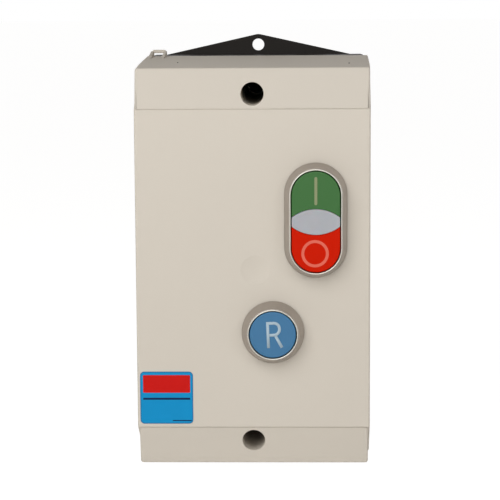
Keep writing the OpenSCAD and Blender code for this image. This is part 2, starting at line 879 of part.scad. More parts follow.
// Clips on the barrel and carries the three contact elements
module block_adapter() {
    x = [block_x[0] - adapter_rim, adapter_rim - block_x[0]];
    color([0.24, 0.24, 0.25]) on_front(twin_at) difference() {
        union() {
            span(x, [-block_half_h, block_half_h],
                 [-barrel_len - adapter_drop, adapter_t - barrel_len]);
            rod(barrel_r + adapter_ring, -barrel_len,
                adapter_t + adapter_sleeve - barrel_len);
        }
        rod(barrel_r + seat, -barrel_len - 1, adapter_t + adapter_sleeve + 1 - barrel_len);
        // Finger notches of the two release levers
        for (s = [-1, 1]) translate([0, s * block_half_h, 0])
            span([-adapter_notch[0], adapter_notch[0]], [-adapter_notch[1], adapter_notch[1]],
                 [-barrel_len - 1, adapter_t + 1 - barrel_len]);
    }
}

// One contact element: a case round its stem, its bridge and its two fixed contacts
module contact_case() {
    zs = [block_top - block_d, block_top];
    w = block_wall;
    e = block_entry;
    difference() {
        span(block_x, [-block_half_h, block_half_h], zs);
        span([block_x[0] + w, block_x[1] - w], [w - block_half_h, block_half_h - w],
             [zs[0] + block_foot_t, zs[1] - block_top_t]);
        span([stem_x[0] - gap, stem_x[1] + gap], [stem_y[0] - gap, stem_y[1] + gap],
             [zs[1] - block_top_t - 1, zs[1] + 1]);
        for (s = [-1, 1]) translate([block_screw_x, s * block_screw_y, 0])
            rod(block_screw_head + gap, zs[0] - 1, zs[0] + block_foot_t + 1);
        // Wire entries at the two ends
        for (s = [-1, 1]) translate([0, s * block_half_h, 0])
            span([block_x[0] + e[0], block_x[1] - e[0]], [-e[1], e[1]],
                 [zs[0] + e[2], zs[0] + e[2] + e[3]]);
    }
}

module start_contact_block() {
    color([0.13, 0.35, 0.2]) on_front(twin_at) contact_case();
}

module stop_contact_block() {
    color([0.6, 0.12, 0.1]) on_front(twin_at) rotate([0, 0, 180]) contact_case();
}

// Calls its child for the start element and, turned half round, for the stop element
module both_blocks() {
    for (a = [0, 180]) rotate([0, 0, a]) {
        $contact_top = a == 0 ? make_z - travel - gap : break_z + bridge_t + gap + contact_t;
        children();
    }
}

module block_contacts() {
    color([0.85, 0.72, 0.45]) on_front(twin_at) both_blocks()
        for (s = [0, 1]) mirror([0, s, 0]) difference() {
            span([block_x[0] + block_wall + seat, block_x[1] - block_wall - seat],
                 [contact_in, block_half_h - block_wall - seat],
                 [$contact_top - contact_t, $contact_top]);
            translate([block_screw_x, block_screw_y, 0])
                rod(block_screw_r + seat, $contact_top - contact_t - 1, $contact_top + 1);
        }
}

module block_screws() {
    head_z = block_top - block_d + block_foot_t;
    color([0.75, 0.75, 0.77]) on_front(twin_at) both_blocks()
        for (s = [-1, 1]) translate([block_screw_x, s * block_screw_y, head_z])
            rotate([180, 0, 0])
                slot_screw(block_screw_r, $contact_top - head_z, block_screw_head,
                           block_screw_head);
}

// The lamp element between the two contact elements
module led_element() {
    color([0.86, 0.87, 0.9]) on_front(twin_at) {
        span([-led_half_w, led_half_w], [-block_half_h, block_half_h],
             [block_top - block_d, block_top]);
        rod(led_r, block_top, led_top);
        translate([0, 0, led_top]) intersection() {
            sphere(r = led_r);
            rod(led_r + 1, 0, led_r + 1);
        }
    }
}

module reset_collar() {
    color([0.55, 0.53, 0.5]) on_front(reset_at)
        button_collar(reset_cap_r, 0, reset_cap_r + cap_gap + ring_w);
}

module reset_bright_ring() {
    color([0.88, 0.87, 0.86]) on_front(reset_at) bright_ring(reset_cap_r, 0);
}

module reset_seal() {
    color([0.13, 0.13, 0.13]) on_front(reset_at) button_seal(0);
}

module reset_barrel() {
    color([0.16, 0.16, 0.16]) on_front(reset_at) {
        tube(barrel_r, barrel_in_r, -barrel_len, seal_t);
        tube(barrel_in_r + 0.2, rod_r + gap, -barrel_len, shelf_t - barrel_len);
    }
}

module reset_button() {
    color([0.25, 0.48, 0.68]) on_front(reset_at) {
        rod(reset_cap_r, cap_under, cap_top);
        tube(barrel_in_r - slip, barrel_in_r - skirt_t, -skirt_len, cap_under + 0.5);
        tube(barrel_in_r - slip, skirt_foot[0], -skirt_len, skirt_foot[1] - skirt_len);
    }
}

module reset_spring() {
    color([0.8, 0.8, 0.82]) on_front(reset_at) translate([0, 0, shelf_t - barrel_len])
        coil_spring(reset_spring_r, reset_wire_r, barrel_len - shelf_t - skirt_len, 5);
}

module reset_nut() {
    color([0.72, 0.73, 0.74]) on_front(reset_at) barrel_nut();
}

// The long rod that carries the push down to the relay
module reset_rod() {
    color([0.85, 0.85, 0.83]) on_front(reset_at)
        rod(rod_r, rail_front + relay_reset_out + gap - encl_d, cap_under);
}

// ---- Contactor ----

module contactor_foot() {
    guide_y = [latch_in - half_ctr, -rail_w / 2 - gap];
    color([0.2, 0.2, 0.21]) on_rail() difference() {
        union() {
            span([-half_device, half_device], [-half_ctr, half_ctr], [gap, foot_top]);
            // Fixed hook over the rail's upper flange
            span([-hook_half, hook_half], [rail_w / 2 + gap, rail_w / 2 + gap + hook_t],
                 [hook_z[0], gap + 1]);
            span([-hook_half, hook_half], [rail_w / 2 - hook_t, rail_w / 2 + 1], hook_z);
            // Guides of the lower latch
            for (s = [0, 1]) mirror([s, 0, 0]) {
                span([latch_half + slip, latch_half + latch_rail], guide_y,
                     [hook_z[0] - 1, gap + 1]);
                span([latch_half - 1, latch_half + latch_rail], guide_y,
                     [hook_z[0] - 1, hook_z[0] - slip]);
            }
        }
        span([foot_wall - half_device, half_device - foot_wall],
             [-foot_room_y, foot_room_y], [core_z, foot_top + 1]);
    }
}

// An E of iron seen along Y: a yoke between z0 and z1 with three legs up to z2
module e_core(z0, z1, z2) {
    y = [-core_t / 2, core_t / 2];
    lo = min(z0, z1);
    hi = max(z0, z1);
    span([-core_out, core_out], y, [lo, hi]);
    span([-core_leg, core_leg], y, [min(lo, z2), max(hi, z2)]);
    for (s = [0, 1]) mirror([s, 0, 0])
        span([core_out - core_leg, core_out], y, [min(lo, z2), max(hi, z2)]);
}

module fixed_core() {
    color([0.45, 0.45, 0.47]) on_rail() e_core(core_z, core_z + core_yoke, core_top);
}

module armature() {
    color([0.45, 0.45, 0.47]) on_rail() e_core(arm_top, arm_z + arm_leg, arm_z);
}

// Bobbin on the middle leg of the fixed core
module coil_former() {
    z = [core_z + core_yoke, former_top];
    hole_x = core_leg + slip;
    hole_y = core_t / 2 + slip;
    out_x = core_out - core_leg - gap;
    color([0.9, 0.88, 0.8]) on_rail() difference() {
        union() {
            span([-hole_x - flange_t, hole_x + flange_t],
                 [-hole_y - flange_t, hole_y + flange_t], z);
            for (f = [[z[0], z[0] + flange_t], [z[1] - flange_t, z[1]]])
                span([-out_x, out_x], [-former_half_y, former_half_y], f);
        }
        span([-hole_x, hole_x], [-hole_y, hole_y], [z[0] - 1, z[1] + 1]);
    }
}

module coil_winding() {
    z = [core_z + core_yoke + flange_t, former_top - flange_t];
    in_x = core_leg + slip + flange_t;
    in_y = core_t / 2 + slip + flange_t;
    color([0.72, 0.42, 0.2]) on_rail() translate([0, 0, z[0]]) linear_extrude(z[1] - z[0])
        difference() {
            rounded_rect(2 * (core_out - core_leg - gap - winding_in / 2),
                         2 * (former_half_y - winding_in), 3);
            square([2 * in_x, 2 * in_y], center = true);
        }
}

// Slides with the armature and holds the four bridges in its windows
module contact_carrier() {
    cheek = core_t / 2 + slip;
    color([0.16, 0.16, 0.17]) on_rail() difference() {
        union() {
            span([-carrier_half_x, carrier_half_x], [-carrier_half_y, carrier_half_y],
                 [arm_top, arm_top + carrier_h]);
            span([-cheek_half, cheek_half], [-cheek - cheek_t, cheek + cheek_t],
                 [arm_top, arm_top + cheek_t]);
            for (s = [0, 1]) mirror([0, s, 0]) {
                span([-cheek_half, cheek_half], [cheek, cheek + cheek_t],
                     [spring_top, arm_top + 1]);
                span([-arm_half, arm_half], [cheek, cheek + arm_out],
                     [spring_top, spring_top + cheek_t]);
            }
            span([-button_half[0], button_half[0]], [-button_half[1], button_half[1]],
                 [arm_top + carrier_h - 1, contactor_d - gap]);
        }
        for (x = poles)
            span([x - bridge_half_w, x + bridge_half_w], [-bridge_half, bridge_half],
                 [bridge_z, arm_top + carrier_h - bridge_half_w]);
    }
}

module contact_bridges() {
    color([0.85, 0.72, 0.45]) on_rail() for (x = poles) {
        span([x - bridge_half_w, x + bridge_half_w], [-bridge_half, bridge_half],
             [bridge_z, bridge_z + pole_t]);
        for (s = [-1, 1]) translate([x, s * (bridge_half - pad_r - gap), 0])
            rod(pad_r, bridge_z - pad_t, bridge_z + pole_t / 2);
    }
}

module carrier_springs() {
    color([0.8, 0.8, 0.82]) on_rail() for (s = [-1, 1])
        translate([0, s * carrier_spring_y, former_top])
            coil_spring(carrier_spring_r, carrier_wire_r, spring_top - former_top, 6);
}

module pole_contacts() {
    color([0.82, 0.6, 0.38]) on_rail() for (x = poles, s = [0, 1])
        mirror([0, s, 0]) translate([x, 0, 0]) difference() {
            span([-pole_half, pole_half], [pole_in, pole_screw_y + pocket_half - 0.5],
                 [pole_z - pole_t, pole_z]);
            translate([0, pole_screw_y, 0])
                rod(pole_screw_r + seat, pole_z - pole_t - 1, pole_z + 1);
        }
}

module pole_screws() {
    color([0.75, 0.75, 0.77]) on_rail() for (x = poles, s = [-1, 1])
        translate([x, s * pole_screw_y, pole_z + pin_t + 0.4])
            slot_screw(pole_screw_r, pole_screw_len, pole_head[0], pole_head[1]);
}

module contactor_housing() {
    z = [foot_top, contactor_d];
    color([0.2, 0.2, 0.21]) on_rail() difference() {
        union() {
            span([-half_device, half_device], [-half_ctr, half_ctr], [z[0], z[1] - shoulder_d]);
            span([-half_device, half_device], [shoulder_h - half_ctr, half_ctr - shoulder_h], z);
        }
        // Room for the armature, the carrier and the bridges
        span([housing_wall - half_device, half_device - housing_wall],
             [-cavity_half_y, cavity_half_y], [z[0] - 1, z[1] - roof_t]);
        span([-button_half[0] - gap, button_half[0] + gap],
             [-button_half[1] - gap, button_half[1] + gap], [z[1] - roof_t - 1, z[1] + 1]);
        for (x = poles, s = [0, 1]) mirror([0, s, 0]) translate([x, 0, 0]) {
            // Slot for a fixed contact, then the terminal pocket it ends in
            span([-pole_half - slip, pole_half + slip], [cavity_half_y - 1, pole_screw_y],
                 [pole_z - slip - pole_t, pole_z + 3]);
            span([-pocket_half, pocket_half], [pole_screw_y - pocket_half, half_ctr + 1],
                 [pole_z - pocket_rise, pole_z + pocket_rise]);
            translate([0, pole_screw_y, 0]) rod(key_r, pole_z - pocket_rise, z[1]);
        }
    }
}

module rail_latch() {
    color([0.85, 0.85, 0.83]) on_rail() difference() {
        union() {
            span([-latch_half, latch_half], [latch_in - half_ctr, hook_t - rail_w / 2], hook_z);
            span([-latch_half, latch_half], [latch_in - half_ctr, -rail_w / 2 - gap],
                 [hook_z[0], gap - slip]);
            span([latch_in - latch_half, latch_half - latch_in],
                 [-half_ctr - 4, 3 - half_ctr], hook_z);
        }
        span([-latch_slot[0], latch_slot[0]],
             [-half_ctr - latch_slot[1], -half_ctr - latch_slot[2]], [hook_z[0] - 1, 0]);
    }
}

// ---- Overload relay ----

// Case of the relay, closed in front by its front plate
module relay_housing() {
    color([0.2, 0.2, 0.21]) on_rail() {
        difference() {
            span([-half_device, half_device], [relay_bottom, relay_top],
                 [relay_back, relay_split]);
            span([relay_wall - half_device, half_device - relay_wall], relay_room,
                 [relay_back + relay_wall, relay_split + 1]);
            for (x = relay_poles) translate([x, 0, 0]) {
                // Way in for a link pin, and the terminal pocket at the other end
                span([-pin_half - seat, pin_half + seat], [relay_room[1] - 1, relay_top + 1],
                     [pole_z + slip - seat, pole_z + slip + pin_t + seat]);
                span([-pole_half - slip, pole_half + slip], [relay_screw_y, relay_room[0] + 1],
                     [pole_z - slip - pole_t, pole_z + 2]);
                span([-pocket_half, pocket_half],
                     [relay_bottom - 1, relay_screw_y + pocket_half],
                     [pole_z - pocket_rise, pole_z + pocket_rise]);
                translate([0, relay_screw_y, 0])
                    rod(key_r, pole_z - pocket_rise, relay_split + 1);
            }
        }
        // Ledges that the trip slide runs on
        for (x = ledge_x)
            span([x, x + ledge_w], [relay_room[0] - 1, relay_room[0] + ledge_h],
                 [relay_back + relay_wall - 1, slide_z[0] - slip]);
    }
}

module relay_front() {
    color([0.27, 0.27, 0.28]) on_rail() difference() {
        span([-half_device, half_device], [relay_bottom, relay_top], [relay_split, relay_d]);
        translate(dial_at) {
            rod(dial_stem_r + slip, relay_split - 1, relay_d + 1);
            rod(dial_r + gap, relay_d - dial_sunk, relay_d + 1);
        }
        translate(plunger_at) rod(relay_reset_r + slip, relay_split - 1, relay_d + 1);
        translate(test_at) rod(test_r + slip, relay_split - 1, relay_d + 1);
        for (x = relay_poles)
            translate([x, relay_screw_y, 0]) rod(key_r, relay_split - 1, relay_d + 1);
    }
}

// The three strips that bend when the motor draws too much
module bimetal_strips() {
    color([0.7, 0.62, 0.5]) on_rail() for (x = relay_poles)
        span([x - strip_t / 2, x + strip_t / 2], [strip_low, relay_room[1]], strip_z);
}

// Bar that the bending strips push sideways; each strip has a notch to bend in
module trip_slide() {
    color([0.9, 0.88, 0.8]) on_rail() difference() {
        span(slide_x, [relay_room[0] + 1, strip_low + 1.6], slide_z);
        for (x = relay_poles)
            span([x - strip_t / 2 - trip_travel - gap, x + strip_t / 2 + gap],
                 [strip_low - 0.4, strip_low + 3], [slide_z[0] - 1, slide_z[1] + 1]);
    }
}

// The pins that plug into the contactor's lower terminals
module link_pins() {
    color([0.82, 0.6, 0.38]) on_rail() for (x = relay_poles) translate([x, 0, 0]) {
        span([-pin_half, pin_half], [relay_room[1] - 2, -pole_screw_y - pole_screw_r - seat],
             [pole_z + slip, pole_z + slip + pin_t]);
        span([-pin_leg_half, pin_leg_half], [relay_room[1] - 2, relay_room[1] - gap],
             [strip_z[1], pole_z + pin_t / 2]);
    }
}

module relay_terminals() {
    color([0.82, 0.6, 0.38]) on_rail() for (x = relay_poles) translate([x, 0, 0])
        difference() {
            span([-pole_half, pole_half], [relay_bottom + 2, relay_room[0] + 3],
                 [pole_z - pole_t, pole_z]);
            translate([0, relay_screw_y, 0])
                rod(pole_screw_r + seat, pole_z - pole_t - 1, pole_z + 1);
        }
}

module relay_screws() {
    color([0.75, 0.75, 0.77]) on_rail() for (x = relay_poles)
        translate([x, relay_screw_y, pole_z + pin_t + 0.4])
            slot_screw(pole_screw_r, pole_screw_len, pole_head[0], pole_head[1]);
}

module current_dial() {
    color([0.85, 0.85, 0.83]) on_rail() translate(dial_at) difference() {
        union() {
            rod(dial_stem_r, relay_split - dial_in, relay_d - 1);
            rod(dial_stem_r + flange_out, relay_split - dial_in, relay_keep);
            rod(dial_r, relay_d - dial_sunk + gap, relay_d + 0.8);
        }
        span([-dial_slot_half, dial_slot_half], [-dial_r + 1, dial_r + 1],
             [relay_d - dial_slot_half, relay_d + 2]);
    }
}

// A push-button of the relay, with a flange that keeps it behind the front plate
module relay_button(at, r, out) {
    on_rail() translate(at) {
        rod(r, relay_keep - flange_in, relay_d + out);
        rod(r + flange_out, relay_keep - flange_in, relay_keep);
    }
}

module relay_reset() {
    color([0.25, 0.48, 0.68]) relay_button(plunger_at, relay_reset_r, travel);
}

module test_button() {
    color([0.82, 0.1, 0.06]) relay_button(test_at, test_r, test_travel);
}

base();
cover();
cover_gasket();
cover_screws();
screw_seals();
front_sticker();
mounting_rail();
rail_screws();
earth_terminal();
earth_screws();
twin_collar();
twin_bright_ring();
twin_seal();
twin_barrel();
signal_lens();
start_button();
stop_button();
start_plunger();
stop_plunger();
start_spring();
stop_spring();
start_bridge();
stop_bridge();
twin_nut();
block_adapter();
start_contact_block();
stop_contact_block();
block_contacts();
block_screws();
led_element();
reset_collar();
reset_bright_ring();
reset_seal();
reset_barrel();
reset_button();
reset_spring();
reset_nut();
reset_rod();
contactor_foot();
contactor_housing();
fixed_core();
coil_former();
coil_winding();
armature();
contact_carrier();
contact_bridges();
carrier_springs();
pole_contacts();
pole_screws();
rail_latch();
relay_housing();
relay_front();
bimetal_strips();
trip_slide();
link_pins();
relay_terminals();
relay_screws();
current_dial();
relay_reset();
test_button();
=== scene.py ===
"""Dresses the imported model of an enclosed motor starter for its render."""
import json
from math import cos, hypot, pi, radians, sin

import bmesh
import bpy
from bpy.props import FloatProperty, FloatVectorProperty, PointerProperty
from mathutils import Matrix, Vector
from mathutils.bvhtree import BVHTree


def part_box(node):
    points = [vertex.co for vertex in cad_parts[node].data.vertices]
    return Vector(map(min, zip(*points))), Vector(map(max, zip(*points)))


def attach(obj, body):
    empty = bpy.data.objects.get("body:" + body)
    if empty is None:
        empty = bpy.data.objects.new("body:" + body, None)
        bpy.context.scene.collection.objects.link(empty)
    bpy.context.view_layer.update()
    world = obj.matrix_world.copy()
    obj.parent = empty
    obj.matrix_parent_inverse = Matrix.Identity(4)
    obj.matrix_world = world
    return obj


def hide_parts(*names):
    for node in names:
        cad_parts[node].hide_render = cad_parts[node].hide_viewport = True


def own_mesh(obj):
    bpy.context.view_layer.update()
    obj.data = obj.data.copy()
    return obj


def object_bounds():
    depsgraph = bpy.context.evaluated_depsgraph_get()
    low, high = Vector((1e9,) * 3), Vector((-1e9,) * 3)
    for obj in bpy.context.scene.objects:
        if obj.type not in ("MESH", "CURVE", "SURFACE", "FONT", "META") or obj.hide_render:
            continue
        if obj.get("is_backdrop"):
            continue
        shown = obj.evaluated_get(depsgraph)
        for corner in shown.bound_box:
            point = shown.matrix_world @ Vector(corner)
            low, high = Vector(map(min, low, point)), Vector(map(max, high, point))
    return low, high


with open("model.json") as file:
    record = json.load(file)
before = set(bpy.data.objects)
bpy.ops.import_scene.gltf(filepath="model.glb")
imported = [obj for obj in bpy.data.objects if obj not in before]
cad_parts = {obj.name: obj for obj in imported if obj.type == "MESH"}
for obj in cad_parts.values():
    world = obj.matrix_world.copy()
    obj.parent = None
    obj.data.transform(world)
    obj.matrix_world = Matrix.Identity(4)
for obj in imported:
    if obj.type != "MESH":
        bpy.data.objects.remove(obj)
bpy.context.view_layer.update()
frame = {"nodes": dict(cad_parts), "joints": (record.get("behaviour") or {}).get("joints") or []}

bl_info = {
    "name": "Enclosed motor starter",
    "version": (1, 0, 0),
    "blender": (4, 5, 0),
    "location": "3D View > Sidebar > Starter",
    "description": "Moulded cover, wall base, push-buttons and label of an enclosed motor starter",
    "category": "Object",
}

MM = 0.001
FRONT_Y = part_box("front_sticker")[1].y      # plane of the cover's front face

WELD = 0.03 * MM            # points of a CAD mesh this close are one
SPRING_WELD = 0.01 * MM     # the same for the thin wire of the springs
TOUCH = 0.001 * MM          # ends of a spun piece this close are one
SLIVER = 0.005 * MM         # edges shorter than this are taken out after a bevel
FLAT = radians(0.8)         # faces that turn by less are one flat area

# Nodes whose material isn't their slot's own: the cover screws take a dark material that paints
# the shade of their deep wells
PAINTED_SHADE_SWAPS = {"cover_screws": "dark_screw"}

# Place of each dark pip on the top: across, and behind the front, in mm
PIPS = {"left": (-38.5, 51), "right": (47.4, 40)}

# Each lamp: name, setting of its power, azimuth and rise in degrees, distance and size in metres
LAMPS = (
    ("left", "left", -16, 30, 1.1, (1.2, 1.0)),
    ("right", "right", 38, 18, 1.4, (0.3, 0.3)),
    ("strip_left", "side", -88, 4, 0.9, (0.3, 0.8)),
    ("strip_right", "side", 88, 4, 0.9, (0.3, 0.8)),
)
AIM = Vector((0, -0.16, 0))                 # middle of the cover's front

# The camera: place in metres, turn in degrees, lens and sensor in mm
EYE = Vector((0.0206, -1.0184, 0.1228))
PITCH, YAW, ROLL = 7.499, -1.462, -0.318
LENS, SENSOR = 129.53, 36


def lin(text):
    """Linear red, green and blue of an sRGB hex colour."""
    parts = [int(text[i:i + 2], 16) / 255 for i in (1, 3, 5)]
    return tuple(c / 12.92 if c <= 0.04045 else ((c + 0.055) / 1.055) ** 2.4 for c in parts)


def colour(name, text, description):
    """A colour property of a settings group."""
    return FloatVectorProperty(name=name, description=description, default=lin(text),
                               subtype="COLOR", size=3, min=0, max=1)


def length(name, mm, description):
    """A length property of a settings group, given in millimetres."""
    return FloatProperty(name=name, description=description, default=mm * MM,
                         subtype="DISTANCE", unit="LENGTH", min=0, precision=5)


def amount(name, value, description, **options):
    """A power, strength or share of a settings group."""
    return FloatProperty(name=name, description=description, default=value, min=0, **options)


# ---- Settings ----

class CoverSettings(bpy.types.PropertyGroup):
    edge: length("Edge radius", 0.3, "Radius of the moulding's outer edges")
    line_z: length("Line height", 77.4, "Height of the lines between the face and the bands")
    dimple_x: length("Dimple place", 1.2, "How far the dimple lies right of the middle")
    dimple_r: length("Dimple radius", 7.5, "Radius of the shallow dimple over the gate")
    dimple_d: length("Dimple depth", 0.9, "Depth of the shallow dimple over the gate")
    pip_r: length("Pip radius", 0.35, "Radius of the two small dark pips on the top")
    pip_h: length("Pip height", 0.35, "Height of the two small dark pips on the top")
    tint: colour("Cover", "#ccc5ba", "Light grey of the cover")


class BaseSettings(bpy.types.PropertyGroup):
    edge: length("Edge radius", 0.5, "Radius of the base's edges")
    tint: colour("Base", "#221f1c", "Black of the wall base")


class ButtonSettings(bpy.types.PropertyGroup):
    cap_edge: length("Cap rim", 0.45, "Radius of the caps' outer rims")
    fine_edge: length("Cap edge", 0.12, "Radius of the caps' and the lens's other edges")
    mark_h: length("Mark height", 0.06, "How far the marks stand out of the caps")
    stroke: length("Stroke", 1.4, "Stroke width of the marks I, O and R")
    ring: length("Ring wall", 0.6, "Wall of the bright rings")
    collar: colour("Collar", "#a39a91", "Satin lacquer of the collars")
    green: colour("START cap", "#346730", "Green of the START cap")
    red: colour("STOP cap", "#c41a00", "Red of the STOP cap")
    blue: colour("RESET cap", "#3a7099", "Blue of the RESET cap")
    mark_i: colour("Mark I", "#848c66", "Pale green of the mark I")
    mark_o: colour("Mark O", "#d9624e", "Pale red of the mark O")
    mark_r: colour("Mark R", "#a5b9c6", "Pale blue of the mark R")
    lens: colour("Lens", "#a9abb1", "Pale tint of the signal lens")


class LabelSettings(bpy.types.PropertyGroup):
    film: colour("Film", "#0f8ac2", "Blue of the film")
    border: colour("Border", "#2f6f9e", "Darker blue of the film's border")
    bar: colour("Bar", "#c4140f", "Red of the broad bar")
    rule: colour("Rules", "#10294e", "Dark blue of the thin rules")


class StageSettings(bpy.types.PropertyGroup):
    left: amount("Left light", 10.9, "Power of the left soft box", unit="POWER")
    right: amount("Right light", 1.9, "Power of the right soft box", unit="POWER")
    side: amount("Side lights", 1.5, "Power of each side strip", unit="POWER")
    fill: amount("Fill", 0.095, "Strength of the light from all round")
    warm: colour("Room", "#fff0de", "Tint of the light from all round")
    floor: colour("Floor", "#f6f5f2", "Pale colour of the floor")
    glow: amount("Floor glow", 1.27, "Strength of the floor's own white")
    seen: amount("Glow seen", 0.75, "Share of the glow that the camera sees",
                 subtype="FACTOR", max=1)
    cast: amount("Glow cast", 0.13, "Share of the glow that lights the object",
                 subtype="FACTOR", max=1)
    behind: amount("Room behind", 1.0, "Strength of the room behind the object in reflections")
    ahead: amount("Room ahead", 0.04, "Strength of the room behind the camera in reflections")


GROUPS = {"cover": CoverSettings, "base": BaseSettings, "buttons": ButtonSettings,
          "label": LabelSettings, "stage": StageSettings}


def settings(name):
    """The scene's settings of one group."""
    return getattr(bpy.context.scene, "starter_" + name)


# ---- Materials ----

def material(name):
    """A new material with its node tree, its shader and its object coordinates."""
    mat = bpy.data.materials.new(name)
    mat.use_nodes = True
    tree = mat.node_tree
    tree.nodes.clear()
    shader = tree.nodes.new("ShaderNodeBsdfPrincipled")
    out = tree.nodes.new("ShaderNodeOutputMaterial")
    tree.links.new(shader.outputs[0], out.inputs["Surface"])
    return mat, tree, shader, add(tree, "ShaderNodeTexCoord").outputs["Object"]


def add(tree, kind, links=None, to=None, sockets=None, **values):
    """Adds a node: values and sockets set it, links feed it, to is the socket it feeds."""
    node = tree.nodes.new(kind)
    for key, value in values.items():
        if hasattr(node, key):
            setattr(node, key, value)
        else:
            node.inputs[key.replace("_", " ")].default_value = value
    for key, value in (sockets or {}).items():
        node.inputs[key].default_value = value
    for key, source in (links or {}).items():
        tree.links.new(source, node.inputs[key])
    if to is not None:
        tree.links.new([o for o in node.outputs if o.enabled][0], to)
    return node


def put(shader, **values):
    """Sets constants on a shader's own sockets."""
    for key, value in values.items():
        socket = shader.inputs[key.replace("_", " ")]
        socket.default_value = (*value, 1) if isinstance(value, tuple) else value


def shade(tree, shader, pattern, tint, spread, rough, turn, depth):
    """A pattern varies the colour by spread and the roughness by turn, and dents by depth mm."""
    low, high = [(*[min(1, c * k) for c in tint], 1) for k in (1 - spread, 1 + spread)]
    add(tree, "ShaderNodeMix", {0: pattern}, shader.inputs["Base Color"], {6: low, 7: high},
        data_type="RGBA")
    add(tree, "ShaderNodeMapRange", {"Value": pattern}, shader.inputs["Roughness"],
        {"To Min": rough * (1 - turn), "To Max": rough * (1 + turn)})
    add(tree, "ShaderNodeBump", {"Height": pattern}, shader.inputs["Normal"],
        Distance=depth * MM)


def moulded(name, tint, rough=0.5, grain=0.35, depth=0.012, spread=0.03, ior=1.5, shine=0.3):
    """Injection-moulded plastic: a fine spark-eroded grain that varies colour and gloss."""
    mat, tree, shader, place = material(name)
    put(shader, IOR=ior, Specular_IOR_Level=shine)
    # Grain is the pitch of the tool's texture in mm. Real pits are about 0.1 mm apart, too fine
    # to show, so they are drawn coarser
    pits = add(tree, "ShaderNodeTexNoise", {"Vector": place}, Scale=1 / (grain * MM), Detail=3.0,
               Roughness=0.6)
    shade(tree, shader, pits.outputs["Fac"], tint, spread, rough, turn=0.15, depth=depth)
    return mat


def metal(name, tint, rough, along=(1, 1, 1), pitch=0.08, depth=0.002):
    """Bare or plated metal: fine lines stretched along one axis, a little spread in gloss."""
    mat, tree, shader, place = material(name)
    put(shader, Metallic=1.0)
    stretched = add(tree, "ShaderNodeMapping", {"Vector": place}, Scale=Vector(along))
    lines = add(tree, "ShaderNodeTexNoise", {"Vector": stretched.outputs[0]},
                Scale=1 / (pitch * MM), Detail=4.0)
    shade(tree, shader, lines.outputs["Fac"], tint, spread=0.06, rough=rough, turn=0.22,
          depth=depth)
    return mat


def per_band(pitch):
    """Scale of a wave texture for bands pitch mm apart: they repeat every 2 pi / (20 * scale)."""
    return 2 * pi / (20 * pitch * MM)


def striped(name, tint, dark, rough, metallic, axis, pitch, depth):
    """Layers or turns side by side: dark lines at a steady pitch along one axis."""
    mat, tree, shader, place = material(name)
    put(shader, Metallic=metallic, Roughness=rough)
    wave = add(tree, "ShaderNodeTexWave", {"Vector": place}, bands_direction=axis,
               Scale=per_band(pitch), Distortion=0.2, Detail=1.0)
    add(tree, "ShaderNodeMix", {0: wave.outputs["Fac"]}, shader.inputs["Base Color"],
        {6: (*dark, 1), 7: (*tint, 1)}, data_type="RGBA")
    add(tree, "ShaderNodeBump", {"Height": wave.outputs["Fac"]}, shader.inputs["Normal"],
        Distance=depth * MM)
    return mat


